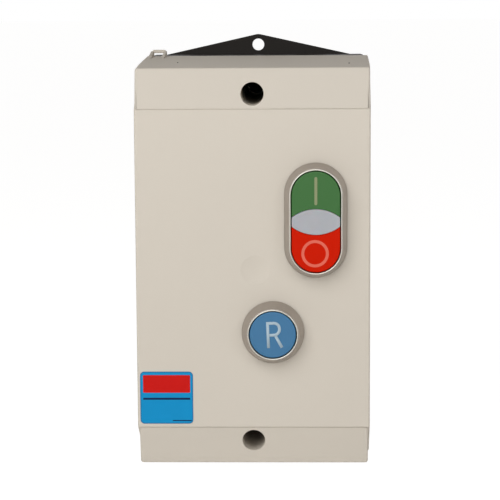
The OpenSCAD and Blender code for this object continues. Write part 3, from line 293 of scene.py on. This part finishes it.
def build_materials():
    """One material for each slot of the record, and those of the new pieces."""
    cover, base = settings("cover"), settings("base")
    buttons, label = settings("buttons"), settings("label")
    made = {
        # Polycarbonate blend, spark-eroded tool: a dull even grey with a very fine grain
        "grey_cover": moulded("Polycarbonate_blend_moulded", cover.tint, rough=0.55, grain=0.45,
                              depth=0.010, spread=0.02, shine=0.04),
        # Glass-filled polyamide: a dull black that lightens on its grain
        "black_case": moulded("Glass_filled_polyamide_black", base.tint, rough=0.6, grain=0.5,
                              depth=0.03, spread=0.12, shine=0.15),
        # Unfilled polyamide, plain tools: a soft sheen
        "black_polyamide": moulded("Polyamide_black_moulded", lin("#232324"), grain=0.4,
                                   depth=0.015, spread=0.08),
        "white_polyamide": moulded("Polyamide_natural_moulded", lin("#dcdad0"), rough=0.45,
                                   grain=0.3, depth=0.008),
        "green_case": moulded("Polyamide_green_moulded", lin("#2a6b3c"), rough=0.45),
        "red_case": moulded("Polyamide_red_moulded", lin("#a5221c"), rough=0.45),
        # Elastomer: a soft dull black
        "seal_rubber": moulded("Elastomer_seal_moulded", lin("#1b1a19"), rough=0.75, grain=0.25,
                               depth=0.02, spread=0.1),
        # Polished tools give the caps a fine satin gloss
        "green_cap": moulded("Polycarbonate_green_satin", buttons.green, rough=0.36, grain=0.2,
                             depth=0.003, ior=1.58),
        "red_cap": moulded("Polycarbonate_red_satin", buttons.red, rough=0.36, grain=0.2,
                           depth=0.003, ior=1.58, shine=0.04),
        "blue_cap": moulded("Polycarbonate_blue_satin", buttons.blue, rough=0.36, grain=0.2,
                            depth=0.003, ior=1.58),
        # The marks are a second shot of paler plastic, level with the cap's gloss
        "mark_i": moulded("Polycarbonate_inlay_pale_green", buttons.mark_i, rough=0.4,
                          grain=0.2, depth=0.003, ior=1.58),
        "mark_o": moulded("Polycarbonate_inlay_pale_red", buttons.mark_o, rough=0.4, grain=0.2,
                          depth=0.003, ior=1.58),
        "mark_r": moulded("Polycarbonate_inlay_pale_blue", buttons.mark_r, rough=0.4,
                          grain=0.2, depth=0.003, ior=1.58),
        # Zinc plate, passivated: a cool dull shine with a faint mottle
        "zinc_steel": metal("Steel_zinc_plated", lin("#b9bcc0"), 0.34, pitch=0.6, depth=0.004),
        # Zinc plate painted dark: the screws at the bottom of the deep wells carry the wells'
        # painted shade
        "dark_screw": metal("Steel_zinc_black_passivated", lin("#2c2b2a"), 0.5, pitch=0.6,
                            depth=0.004),
        # Drawn, rolled and stamped metals: fine lines along the way they were worked
        "spring_steel": metal("Spring_steel_drawn_wire", lin("#b4b6ba"), 0.25, pitch=0.2),
        "brass": metal("Brass_bare_rolled", lin("#c9a55c"), 0.32, along=(0.1, 1, 1)),
        "copper": metal("Copper_alloy_stamped", lin("#c98a62"), 0.3, along=(1, 1, 0.1)),
        "bimetal": metal("Bimetal_rolled_strip", lin("#a79c86"), 0.38, along=(1, 1, 0.1)),
        # Chrome plate on plastic, satin: a soft bright line
        "bright_ring": metal("Chrome_plate_satin", lin("#d8d6cd"), 0.42, pitch=0.5,
                             depth=0.0006),
        # Stack of 0.5 mm laminations, and 0.3 mm enamelled wire
        "core_iron": striped("Silicon_iron_laminated", lin("#77777b"), lin("#3c3c40"), rough=0.42,
                             metallic=1.0, axis="Z", pitch=0.5, depth=0.02),
        "enamelled_copper": striped("Enamelled_copper_winding", lin("#b5662c"), lin("#5c2c10"),
                                    rough=0.3, metallic=0.4, axis="Y", pitch=0.3, depth=0.05),
    }

    # Metallic lacquer on plastic: fine flakes under a satin clear coat
    mat, tree, shader, place = material("Metallic_lacquer_satin")
    put(shader, Metallic=0.45, Coat_Weight=0.1, Coat_Roughness=0.35)
    # Real flakes are 0.03 mm; 0.12 mm still shows
    flake = add(tree, "ShaderNodeTexVoronoi", {"Vector": place}, Scale=1 / (0.12 * MM))
    shade(tree, shader, flake.outputs["Distance"], buttons.collar, spread=0.08, rough=0.4,
          turn=0.1, depth=0.001)
    made["titanium_collar"] = mat

    # Diffusing polycarbonate: milky, with light that goes a little way in
    mat, tree, shader, place = material("Polycarbonate_lens_diffusing")
    put(shader, Roughness=0.3, IOR=1.58, Specular_IOR_Level=0.3, Subsurface_Weight=0.35,
        Subsurface_Scale=2 * MM)
    milk = add(tree, "ShaderNodeTexNoise", {"Vector": place}, Scale=1 / (6 * MM), Detail=2.0)
    low, high = [(*[c * k for c in buttons.lens], 1) for k in (0.94, 1.06)]
    add(tree, "ShaderNodeMix", {0: milk.outputs["Fac"]}, shader.inputs["Base Color"],
        {6: low, 7: high}, data_type="RGBA")
    # Prism grooves on the lens's inner side, 1 mm apart, show through faintly
    ribs = add(tree, "ShaderNodeTexWave", {"Vector": place}, bands_direction="X",
               Scale=per_band(1.0))
    add(tree, "ShaderNodeBump", {"Height": ribs.outputs["Fac"]}, shader.inputs["Normal"],
        Strength=0.3, Distance=0.01 * MM)
    made["lens_plastic"] = mat

    # Printed film: even inks under a smooth gloss that waves a little over 7 mm
    for key, name, tint in (("blue_film", "Film_printed_border", label.border),
                            ("film_blue", "Film_printed_blue", label.film),
                            ("film_bar", "Film_printed_red", label.bar),
                            ("film_rule", "Film_printed_navy", label.rule)):
        mat, tree, shader, place = material(name)
        put(shader, IOR=1.49, Specular_IOR_Level=0.12)
        sag = add(tree, "ShaderNodeTexNoise", {"Vector": place}, Scale=1 / (7 * MM), Detail=1.0)
        shade(tree, shader, sag.outputs["Fac"], tint, spread=0.04, rough=0.35, turn=0.1,
              depth=0.02)
        made[key] = mat
    return made


MATERIALS = {}


# ---- Shapes ----

def front(x, z, out=0.0):
    """Places a piece on the front face: its Z points out of the face, its Y up."""
    return Matrix(((1, 0, 0, x), (0, 0, -1, FRONT_Y - out), (0, 1, 0, z), (0, 0, 0, 1)))


def only(geom, kind):
    """The vertices or edges among the results of a bmesh operator."""
    return [g for g in geom if isinstance(g, kind)]


def collar(kind):
    """A collar's centre across and up, foot radius and half its straight length."""
    lo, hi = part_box(kind + "_collar")
    radius = (hi.x - lo.x) / 2
    return (lo.x + hi.x) / 2, (lo.z + hi.z) / 2, radius, (hi.z - lo.z) / 2 - radius


def cad_copy(node):
    """A merged copy of a CAD node's mesh with each flat area as one face."""
    bm = bmesh.new()
    bm.from_mesh(frame["nodes"][node].data)
    bmesh.ops.remove_doubles(bm, verts=bm.verts, dist=WELD)
    bmesh.ops.dissolve_limit(bm, angle_limit=FLAT, verts=bm.verts, edges=bm.edges,
                             delimit=set())
    return bm


def profile(bm, points):
    """An open chain of edges through (radius, height) points, on the XZ plane."""
    verts = [bm.verts.new((r, 0, z)) for r, z in points]
    return verts + [bm.edges.new(pair) for pair in zip(verts, verts[1:])]


def turned(bm, points, half=0.0, steps=96):
    """Spins a profile round Z, or round two centres half above and half below."""
    geom = profile(bm, points)
    if not half:
        bmesh.ops.spin(bm, geom=geom, axis=(0, 0, 1), cent=(0, 0, 0), angle=2 * pi,
                       steps=steps, use_merge=True)
    else:
        bmesh.ops.translate(bm, verts=only(geom, bmesh.types.BMVert), vec=(0, half, 0))
        for side in (1, -1):
            geom = bmesh.ops.spin(bm, geom=geom, axis=(0, 0, 1), cent=(0, side * half, 0),
                                  angle=pi, steps=steps // 2)["geom_last"]
            geom = bmesh.ops.extrude_edge_only(
                bm, edges=only(geom, bmesh.types.BMEdge))["geom"]
            verts = only(geom, bmesh.types.BMVert)
            bmesh.ops.translate(bm, verts=verts, vec=(0, -2 * side * half, 0))
            geom = verts + [e for e in only(geom, bmesh.types.BMEdge)
                            if all(v in verts for v in e.verts)]
    bmesh.ops.remove_doubles(bm, verts=bm.verts, dist=TOUCH)
    bmesh.ops.recalc_face_normals(bm, faces=bm.faces)


def arc(cx, cz, r, start, end, steps=5):
    """Points of an arc in a profile, angles in degrees."""
    return [(cx + r * cos(radians(start + (end - start) * i / steps)),
             cz + r * sin(radians(start + (end - start) * i / steps)))
            for i in range(steps + 1)]


def piece(bm, name, body, slot, node="", place=None, mats=None, smooth=30, weight=True):
    """Makes a mesh object from bm, on its body, in its slot and in place of a CAD node."""
    if place is not None:
        bmesh.ops.transform(bm, matrix=place, verts=bm.verts)
    mesh = bpy.data.meshes.new(name)
    bm.to_mesh(mesh)
    bm.free()
    mesh.shade_smooth()
    mesh.set_sharp_from_angle(angle=radians(smooth))
    obj = bpy.data.objects.new(name, mesh)
    bpy.context.scene.collection.objects.link(obj)
    for key in mats or (slot,):
        mesh.materials.append(MATERIALS[key])
    if weight:
        obj.modifiers.new("Weighted", "WEIGHTED_NORMAL").keep_sharp = True
    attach(obj, body)
    if node:
        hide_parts(node)
    return obj


def soften(bm, width, above, segments=3, keep=None):
    """Bevels the convex edges that turn by more than an angle in degrees."""
    edges = [e for e in bm.edges if len(e.link_faces) == 2 and e.is_convex
             and e.calc_face_angle(0) > radians(above) and (keep is None or keep(e))]
    bmesh.ops.bevel(bm, geom=edges, offset=width, offset_type="OFFSET", affect="EDGES",
                    segments=segments, profile=0.5, material=-1, clamp_overlap=False,
                    loop_slide=True)
    # The bevel leaves slivers where edges meet
    bmesh.ops.remove_doubles(bm, verts=bm.verts, dist=SLIVER)
    bmesh.ops.dissolve_degenerate(bm, dist=SLIVER, edges=bm.edges)


def sink(bm, point, points, steps=48):
    """Sinks a round dish of (radius, depth) points into the flat area nearest to a point."""
    same_way, same_plane = 0.9999, 0.15 * MM
    at, out, _, _ = BVHTree.FromBMesh(bm).find_nearest(point)
    flat = [f for f in bm.faces if f.normal.dot(out) > same_way
            and abs((f.calc_center_median() - at).dot(out)) < same_plane]
    bmesh.ops.delete(bm, geom=flat, context="FACES")
    geom = profile(bm, [(r, -d) for r, d in points])
    old = set(bm.verts) - set(only(geom, bmesh.types.BMVert))
    bmesh.ops.spin(bm, geom=geom, axis=(0, 0, 1), cent=(0, 0, 0), angle=2 * pi, steps=steps,
                   use_merge=True)
    fresh = [v for v in bm.verts if v not in old]
    bmesh.ops.transform(bm, verts=fresh, matrix=Matrix.Translation(at)
                        @ out.to_track_quat("Z", "Y").to_matrix().to_4x4())
    bmesh.ops.remove_doubles(bm, verts=fresh, dist=TOUCH)
    rims = [e for e in bm.edges if e.is_boundary]
    bmesh.ops.triangle_fill(bm, edges=rims, use_beauty=True, normal=out)
    bmesh.ops.recalc_face_normals(bm, faces=bm.faces)


# ---- Operators ----

class STARTER_OT_cover(bpy.types.Operator):
    """Builds the moulded cover with its rounded edges, dimple and pips"""
    bl_idname = "starter.cover"
    bl_label = "Cover"

    def execute(self, context):
        s = settings("cover")
        bm = cad_copy("cover")
        lo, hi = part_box("cover")
        line_depth = 1.5 * MM       # how far behind the front the lines reach
        root = -MM                  # how deep the pips stand in the wall

        def clear(edge):
            """Whether an edge lies clear of the lines beside the bands and of the rear rim."""
            mid = (edge.verts[0].co + edge.verts[1].co) / 2
            if mid.y > hi.y - MM:
                return False
            return abs(abs(mid.z) - s.line_z) > MM or mid.y > lo.y + line_depth

        # The gate's dimple is a parabola
        rings = 8
        sink(bm, Vector((s.dimple_x, lo.y, 0)),
             [(s.dimple_r * i / rings, s.dimple_d * (1 - (i / rings) ** 2))
              for i in range(rings, -1, -1)])
        shell = BVHTree.FromBMesh(bm)
        soften(bm, s.edge, above=20, keep=clear)
        piece(bm, "moulded_cover", "enclosure", "grey_cover", "cover")

        crown = s.pip_r / 2
        for side, (x, behind) in PIPS.items():
            # The top is as high as the cover's lower end is low; the eyelet stands above it
            at = shell.find_nearest(Vector((x * MM, lo.y + behind * MM, -lo.z)))[0]
            bm = bmesh.new()
            turned(bm, [(0, root), (s.pip_r, root), (s.pip_r, s.pip_h - crown)]
                   + arc(crown, s.pip_h - crown, crown, 0, 90, 3) + [(0, s.pip_h)], steps=16)
            piece(bm, "pip_" + side, "enclosure", "black_polyamide",
                  place=Matrix.Translation(at))
        return {"FINISHED"}


class STARTER_OT_base(bpy.types.Operator):
    """Builds the black wall base with its two lugs"""
    bl_idname = "starter.base"
    bl_label = "Wall base"

    def execute(self, context):
        bm = cad_copy("base")
        soften(bm, settings("base").edge, above=30)
        piece(bm, "wall_base", "enclosure", "black_case", "base")
        return {"FINISHED"}


class STARTER_OT_collars(bpy.types.Operator):
    """Builds the two tapered collars and their bright rings"""
    bl_idname = "starter.collars"
    bl_label = "Collars and rings"

    def execute(self, context):
        wall = settings("buttons").ring
        plinth = 0.4 * MM               # upright edge of the foot
        step, shoulder = 0.5 * MM, 1.5 * MM     # where the flank starts, in from the foot and up
        bulge = 0.35 * MM               # how far the flank is rounded
        lip_w, lip_r = 0.15 * MM, 0.35 * MM     # wall outside the ring, and its rounding
        lip_in = 0.1 * MM               # how far inside the wall the rounding has its centre
        flank_out, flank_down = 0.3 * MM, 0.4 * MM  # end of the flank, from the wall and the top
        seat = 2 * MM                   # depth of metal under the ring
        gap = 0.02 * MM                 # between the lip and the ring
        fine = 0.28 * MM                # rounding of the ring's crown
        steps = 9
        for kind in ("twin", "reset"):
            x, z, r_foot, half = collar(kind)
            lo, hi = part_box(kind + "_collar")
            foot, top = FRONT_Y - hi.y, FRONT_Y - lo.y
            ring_lo, ring_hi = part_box(kind + "_bright_ring")
            r_ring, rise = (ring_hi.x - ring_lo.x) / 2, FRONT_Y - ring_lo.y
            lip, inner = r_ring + lip_w, r_ring - wall

            # Foot, gently rounded flank, rounded lip, then down inside to the floor
            start = r_foot - step, foot + shoulder
            end = lip + flank_out, top - flank_down
            flank = [(start[0] + (end[0] - start[0]) * i / steps,
                      start[1] + (end[1] - start[1]) * i / steps + bulge * sin(pi * i / steps))
                     for i in range(steps)]
            rim = arc(lip - lip_in, top - lip_r, lip_r, 30, 90)
            bm = bmesh.new()
            turned(bm, [(inner, foot), (r_foot, foot), (r_foot, foot + plinth)] + flank + rim
                   + [(r_ring + gap, top - gap), (r_ring + gap, foot + seat),
                      (inner, foot + seat), (inner, foot)], half)
            piece(bm, kind + "_collar_lacquered", "enclosure", "titanium_collar",
                  kind + "_collar", front(x, z), smooth=35)

            bm = bmesh.new()
            crown = (arc(r_ring - fine, rise - fine, fine, 0, 90, 4)
                     + arc(inner + fine, rise - fine, fine, 90, 180, 4))
            turned(bm, [(r_ring, foot + seat)] + crown
                   + [(inner, foot + seat), (r_ring, foot + seat)], half)
            piece(bm, kind + "_ring_chromed", "enclosure", "bright_ring",
                  kind + "_bright_ring", front(x, z), smooth=50)
        return {"FINISHED"}


class STARTER_OT_caps(bpy.types.Operator):
    """Builds the START and STOP caps, the RESET cap and the signal lens"""
    bl_idname = "starter.caps"
    bl_label = "Caps and lens"

    def execute(self, context):
        s = settings("buttons")
        slack = 0.05 * MM               # points of the outer rim lie this near to it
        for node, name, body, slot in (
                ("start_button", "start_cap", "start_push", "green_cap"),
                ("stop_button", "stop_cap", "stop_push", "red_cap"),
                ("signal_lens", "diffusing_lens", "enclosure", "lens_plastic"),
                ("reset_button", "reset_cap", "reset_push", "blue_cap")):
            bm = cad_copy(node)
            lo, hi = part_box(node)
            reach = (hi.x - lo.x) / 2 - slack
            x, z, _, half = collar("reset" if node == "reset_button" else "twin")

            def outer(edge):
                """Whether an edge lies on the cap's outer rim."""
                return all(hypot(v.co.x - x, max(0.0, abs(v.co.z - z) - half)) >= reach
                           for v in edge.verts)

            soften(bm, s.fine_edge, above=40, segments=2, keep=lambda e: not outer(e))
            soften(bm, s.cap_edge, above=40, keep=outer)
            piece(bm, name, body, slot, node)
        return {"FINISHED"}


class STARTER_OT_marks(bpy.types.Operator):
    """Inlays the marks I, O and R in the caps"""
    bl_idname = "starter.marks"
    bl_label = "Marks"

    def execute(self, context):
        s = settings("buttons")
        h, w = s.mark_h, s.stroke
        sunk = -0.3 * MM                # how deep the marks reach into the caps
        out = FRONT_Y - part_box("start_button")[0].y
        x, z, _, _ = collar("twin")

        # I: a bar with round ends
        r, half, up = w / 2, 6 * MM, 14.8 * MM
        bm = bmesh.new()
        turned(bm, [(0, sunk), (r, sunk), (r, h / 2), (r - h / 2, h), (0, h)], half, 32)
        piece(bm, "mark_i", "start_push", "green_cap", place=front(x, z + up, out),
              mats=("mark_i",))

        # O: a ring
        r, across, down = 6.55 * MM, 0.4 * MM, 15.15 * MM
        bm = bmesh.new()
        turned(bm, [(r - w, sunk), (r, sunk), (r, h / 2), (r - h / 2, h), (r - w + h / 2, h),
                    (r - w, h / 2), (r - w, sunk)])
        piece(bm, "mark_o", "stop_push", "red_cap", place=front(x - across, z - down, out),
              mats=("mark_o",))

        # R: two ribbons of one stroke width, thickened both ways. The leg ends a little
        # lower, so that the two tops don't share a plane
        x, z, _, _ = collar("reset")
        tall, wide, waist, bowl = 12.7 * MM, 7.0 * MM, 6.2 * MM, 2.7 * MM
        tuck = 0.8                      # how far under the waist the leg starts, in half strokes
        knee, toe = 4.35 * MM, 7.2 * MM     # where the leg leaves the waist and where it stands
        across, down, tilt = 2.75 * MM, 6.4 * MM, 2.2
        a = w / 2
        top, turn = tall - a, wide - a - bowl
        stem = ([(a, 0), (a, top), (turn, top)] + arc(turn, top - bowl, bowl, 90, 0, 8)[1:]
                + arc(turn, waist + bowl, bowl, 0, -90, 8) + [(w, waist)])
        leg = [(knee, waist - tuck * a), (toe, 0)]
        place = (front(x - across, z - down, out) @ Matrix.Rotation(radians(tilt), 4, "Z"))
        for name, points, drop in (("mark_r", stem, 0), ("mark_r_leg", leg, 0.005 * MM)):
            bm = bmesh.new()
            verts = [bm.verts.new((px, py, sunk)) for px, py in points]
            edges = [bm.edges.new(pair) for pair in zip(verts, verts[1:])]
            wall = bmesh.ops.extrude_edge_only(bm, edges=edges)["geom"]
            bmesh.ops.translate(bm, vec=(0, 0, h - drop - sunk),
                                verts=only(wall, bmesh.types.BMVert))
            obj = piece(bm, name, "reset_push", "blue_cap", place=place, mats=("mark_r",),
                        weight=False)
            thick = obj.modifiers.new("Stroke", "SOLIDIFY")
            thick.thickness, thick.offset, thick.use_even_offset = w, 0, True
            thick.use_quality_normals = True
        return {"FINISHED"}


class STARTER_OT_label(bpy.types.Operator):
    """Builds the square printed label with its plain bar and rules"""
    bl_idname = "starter.label"
    bl_label = "Label"

    def execute(self, context):
        lo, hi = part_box("front_sticker")
        w, thick = hi.x - lo.x, hi.y - lo.y
        x, z = (lo.x + hi.x) / 2, (lo.z + hi.z) / 2
        inner = w - 0.9 * MM            # side of the field inside the border
        field, ink = thick + 0.005 * MM, thick + 0.01 * MM
        # Ink, centre across and up, width and height, corner radius in mm, height of its top
        layers = (("blue_film", 0, 0, w, w, 2.0, thick),
                  ("film_blue", 0, 0, inner, inner, 1.6, field),
                  ("film_bar", 0, w * 0.265, w * 0.89, w * 0.34, 0.4, ink),
                  ("film_rule", 0, -w * 0.02, w * 0.89, w * 0.04, 0.3, ink),
                  ("film_rule", w * 0.29, -w * 0.44, w * 0.36, w * 0.02, 0.2, ink))
        bm = bmesh.new()
        for index, (_, px, pz, sx, sz, r, high) in enumerate(layers):
            before = set(bm.faces)
            part = bmesh.ops.create_cube(bm, size=1)["verts"]
            bmesh.ops.scale(bm, vec=(sx, sz, high), verts=part)
            bmesh.ops.translate(bm, vec=(px, pz, high / 2), verts=part)
            uprights = [e for e in {e for v in part for e in v.link_edges}
                        if abs(e.verts[0].co.z - e.verts[1].co.z) > high / 2]
            bmesh.ops.bevel(bm, geom=uprights, offset=r * MM, offset_type="OFFSET",
                            affect="EDGES", segments=6, profile=0.5, material=-1)
            for f in set(bm.faces) - before:
                f.material_index = index
        piece(bm, "printed_label", "enclosure", "blue_film", "front_sticker", front(x, z),
              mats=[row[0] for row in layers])
        return {"FINISHED"}


class STARTER_OT_springs(bpy.types.Operator):
    """Builds the return springs that the joints list as deforming, from the model's coiled wire"""
    bl_idname = "starter.springs"
    bl_label = "Return springs"

    def execute(self, context):
        for joint in frame["joints"]:
            for soft in joint.get("deforming_nodes", ()):
                node = soft["node"]
                bm = bmesh.new()
                bm.from_mesh(frame["nodes"][node].data)
                bmesh.ops.remove_doubles(bm, verts=bm.verts, dist=SPRING_WELD)
                obj = piece(bm, node + "_coiled", "enclosure", "spring_steel", node, smooth=60)
                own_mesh(obj)
        return {"FINISHED"}


class STARTER_OT_inside(bpy.types.Operator):
    """Gives each remaining node of the model its material"""
    bl_idname = "starter.inside"
    bl_label = "Seals, fasteners and mechanism"

    def execute(self, context):
        for obj in frame["nodes"].values():
            for slot in obj.material_slots:
                key = slot.material.name.split(".")[0]
                if key not in MATERIALS:
                    raise RuntimeError(f"{obj.name} has the unknown slot {key}")
                # The cover screws get the dark material that paints the shade of their deep wells
                slot.material = MATERIALS[PAINTED_SHADE_SWAPS.get(obj.name, key)]
        return {"FINISHED"}


class STARTER_OT_stage(bpy.types.Operator):
    """Sets the floor, the soft light, the world and the camera"""
    bl_idname = "starter.stage"
    bl_label = "Stage"

    def execute(self, context):
        s = settings("stage")
        self.floor(context.scene, s)
        self.room(context.scene, s)
        self.lamps(context.scene, s)
        self.camera(context.scene)
        context.scene.view_settings.view_transform = "Standard"
        return {"FINISHED"}

    def floor(self, scene, s):
        """A wide floor just under the object."""
        side, drop = 60, 0.5 * MM
        lo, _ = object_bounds()
        bm = bmesh.new()
        bmesh.ops.create_grid(bm, x_segments=1, y_segments=1, size=side)
        bmesh.ops.translate(bm, vec=(0, 0, lo[2] - drop), verts=bm.verts)
        mesh = bpy.data.meshes.new("floor")
        bm.to_mesh(mesh)
        bm.free()
        floor = bpy.data.objects.new("floor", mesh)
        scene.collection.objects.link(floor)
        # Matt paper that looks white to the eye and still takes a soft shadow
        mat, tree, shader, place = material("Paper_matt_white")
        put(shader, Base_Color=tuple(s.floor), Roughness=0.9)
        tooth = add(tree, "ShaderNodeTexNoise", {"Vector": place}, Scale=1 / (1.5 * MM))
        add(tree, "ShaderNodeBump", {"Height": tooth.outputs["Fac"]}, shader.inputs["Normal"],
            Distance=0.02 * MM)
        glow = add(tree, "ShaderNodeEmission", Strength=s.glow)
        rays = add(tree, "ShaderNodeLightPath")
        share = add(tree, "ShaderNodeMapRange", {"Value": rays.outputs["Is Camera Ray"]},
                    sockets={"To Min": s.cast, "To Max": s.seen})
        out = next(n for n in tree.nodes if n.type == "OUTPUT_MATERIAL")
        add(tree, "ShaderNodeMixShader",
            {0: share.outputs[0], 1: shader.outputs[0], 2: glow.outputs[0]},
            out.inputs["Surface"])
        mesh.materials.append(mat)
        floor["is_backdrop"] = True

    def room(self, scene, s):
        """A room that the camera sees white, with reflections bright behind the object."""
        dim, bright = -0.8, 0.1         # a ray's Y where the room is dimmest and brightest
        world = bpy.data.worlds.new("Studio")
        scene.world = world
        world.use_nodes = True
        tree = world.node_tree
        sky = tree.nodes["Background"]
        rays = add(tree, "ShaderNodeLightPath").outputs
        clear = add(tree, "ShaderNodeMath", {0: rays["Is Camera Ray"], 1: rays["Is Glossy Ray"]},
                    operation="MAXIMUM")
        add(tree, "ShaderNodeMix", {0: clear.outputs[0]}, sky.inputs["Color"],
            {6: (*s.warm, 1), 7: (1, 1, 1, 1)}, data_type="RGBA")
        way = add(tree, "ShaderNodeTexCoord").outputs["Generated"]
        depth = add(tree, "ShaderNodeSeparateXYZ", {0: way}).outputs["Y"]
        back = add(tree, "ShaderNodeMapRange", {"Value": depth},
                   sockets={"From Min": dim, "From Max": bright, "To Min": s.ahead,
                            "To Max": s.behind})
        shiny = add(tree, "ShaderNodeMath",
                    {0: rays["Is Glossy Ray"], 1: rays["Is Transmission Ray"]},
                    operation="MAXIMUM")
        level = add(tree, "ShaderNodeMix", {0: shiny.outputs[0], 3: back.outputs[0]},
                    sockets={2: s.fill})
        add(tree, "ShaderNodeMix", {0: rays["Is Camera Ray"], 2: level.outputs[0]},
            sky.inputs["Strength"], {3: 1.0})

    def lamps(self, scene, s):
        """A broad soft box high in front, a small one on the right and a strip on each side."""
        for name, power, azimuth, rise, reach, size in LAMPS:
            lamp = bpy.data.lights.new(name, "AREA")
            lamp.shape, lamp.energy = "RECTANGLE", getattr(s, power)
            lamp.size, lamp.size_y = size
            lamp = bpy.data.objects.new(name, lamp)
            side, rise = radians(azimuth), radians(rise)
            lamp.location = AIM + reach * Vector((sin(side) * cos(rise),
                                                  -cos(side) * cos(rise), sin(rise)))
            lamp.rotation_euler = (AIM - lamp.location).to_track_quat("-Z", "Y").to_euler()
            scene.collection.objects.link(lamp)

    def camera(self, scene):
        """The camera, which looks slightly down and to the left."""
        cam = bpy.data.cameras.new("camera")
        cam.sensor_width, cam.lens = SENSOR, LENS
        pitch, yaw, roll = radians(PITCH), radians(YAW), radians(ROLL)
        ahead = Vector((sin(yaw) * cos(pitch), cos(yaw) * cos(pitch), -sin(pitch)))
        side = Vector((cos(yaw), -sin(yaw), 0))
        up = side.cross(ahead)
        right = cos(roll) * side + sin(roll) * up
        top = -sin(roll) * side + cos(roll) * up
        eye = bpy.data.objects.new("camera", cam)
        turn = Matrix((right, top, -ahead)).transposed().to_4x4()
        eye.matrix_world = Matrix.Translation(EYE) @ turn
        scene.collection.objects.link(eye)
        scene.camera = eye


OPERATORS = (STARTER_OT_stage, STARTER_OT_cover, STARTER_OT_base, STARTER_OT_collars,
             STARTER_OT_caps, STARTER_OT_marks, STARTER_OT_label, STARTER_OT_springs,
             STARTER_OT_inside)


class STARTER_PT_panel(bpy.types.Panel):
    """Lists the starter's pieces"""
    bl_idname = "STARTER_PT_panel"
    bl_label = "Enclosed motor starter"
    bl_space_type = "VIEW_3D"
    bl_region_type = "UI"
    bl_category = "Starter"

    def draw(self, context):
        for name in GROUPS:
            box = self.layout.box()
            box.label(text=name.capitalize())
            for key in GROUPS[name].__annotations__:
                box.prop(settings(name), key)
        for op in OPERATORS:
            self.layout.operator(op.bl_idname)


def register():
    for name, group in GROUPS.items():
        bpy.utils.register_class(group)
        setattr(bpy.types.Scene, "starter_" + name, PointerProperty(type=group))
    for cls in (*OPERATORS, STARTER_PT_panel):
        bpy.utils.register_class(cls)


def unregister():
    for cls in (STARTER_PT_panel, *reversed(OPERATORS)):
        bpy.utils.unregister_class(cls)
    for name, group in GROUPS.items():
        delattr(bpy.types.Scene, "starter_" + name)
        bpy.utils.unregister_class(group)


def main():
    register()
    MATERIALS.update(build_materials())
    for op in OPERATORS:
        group, name = op.bl_idname.split(".")
        if getattr(getattr(bpy.ops, group), name)() != {"FINISHED"}:
            raise RuntimeError(op.bl_label + " was not finished")


if __name__ == "__main__":
    main()
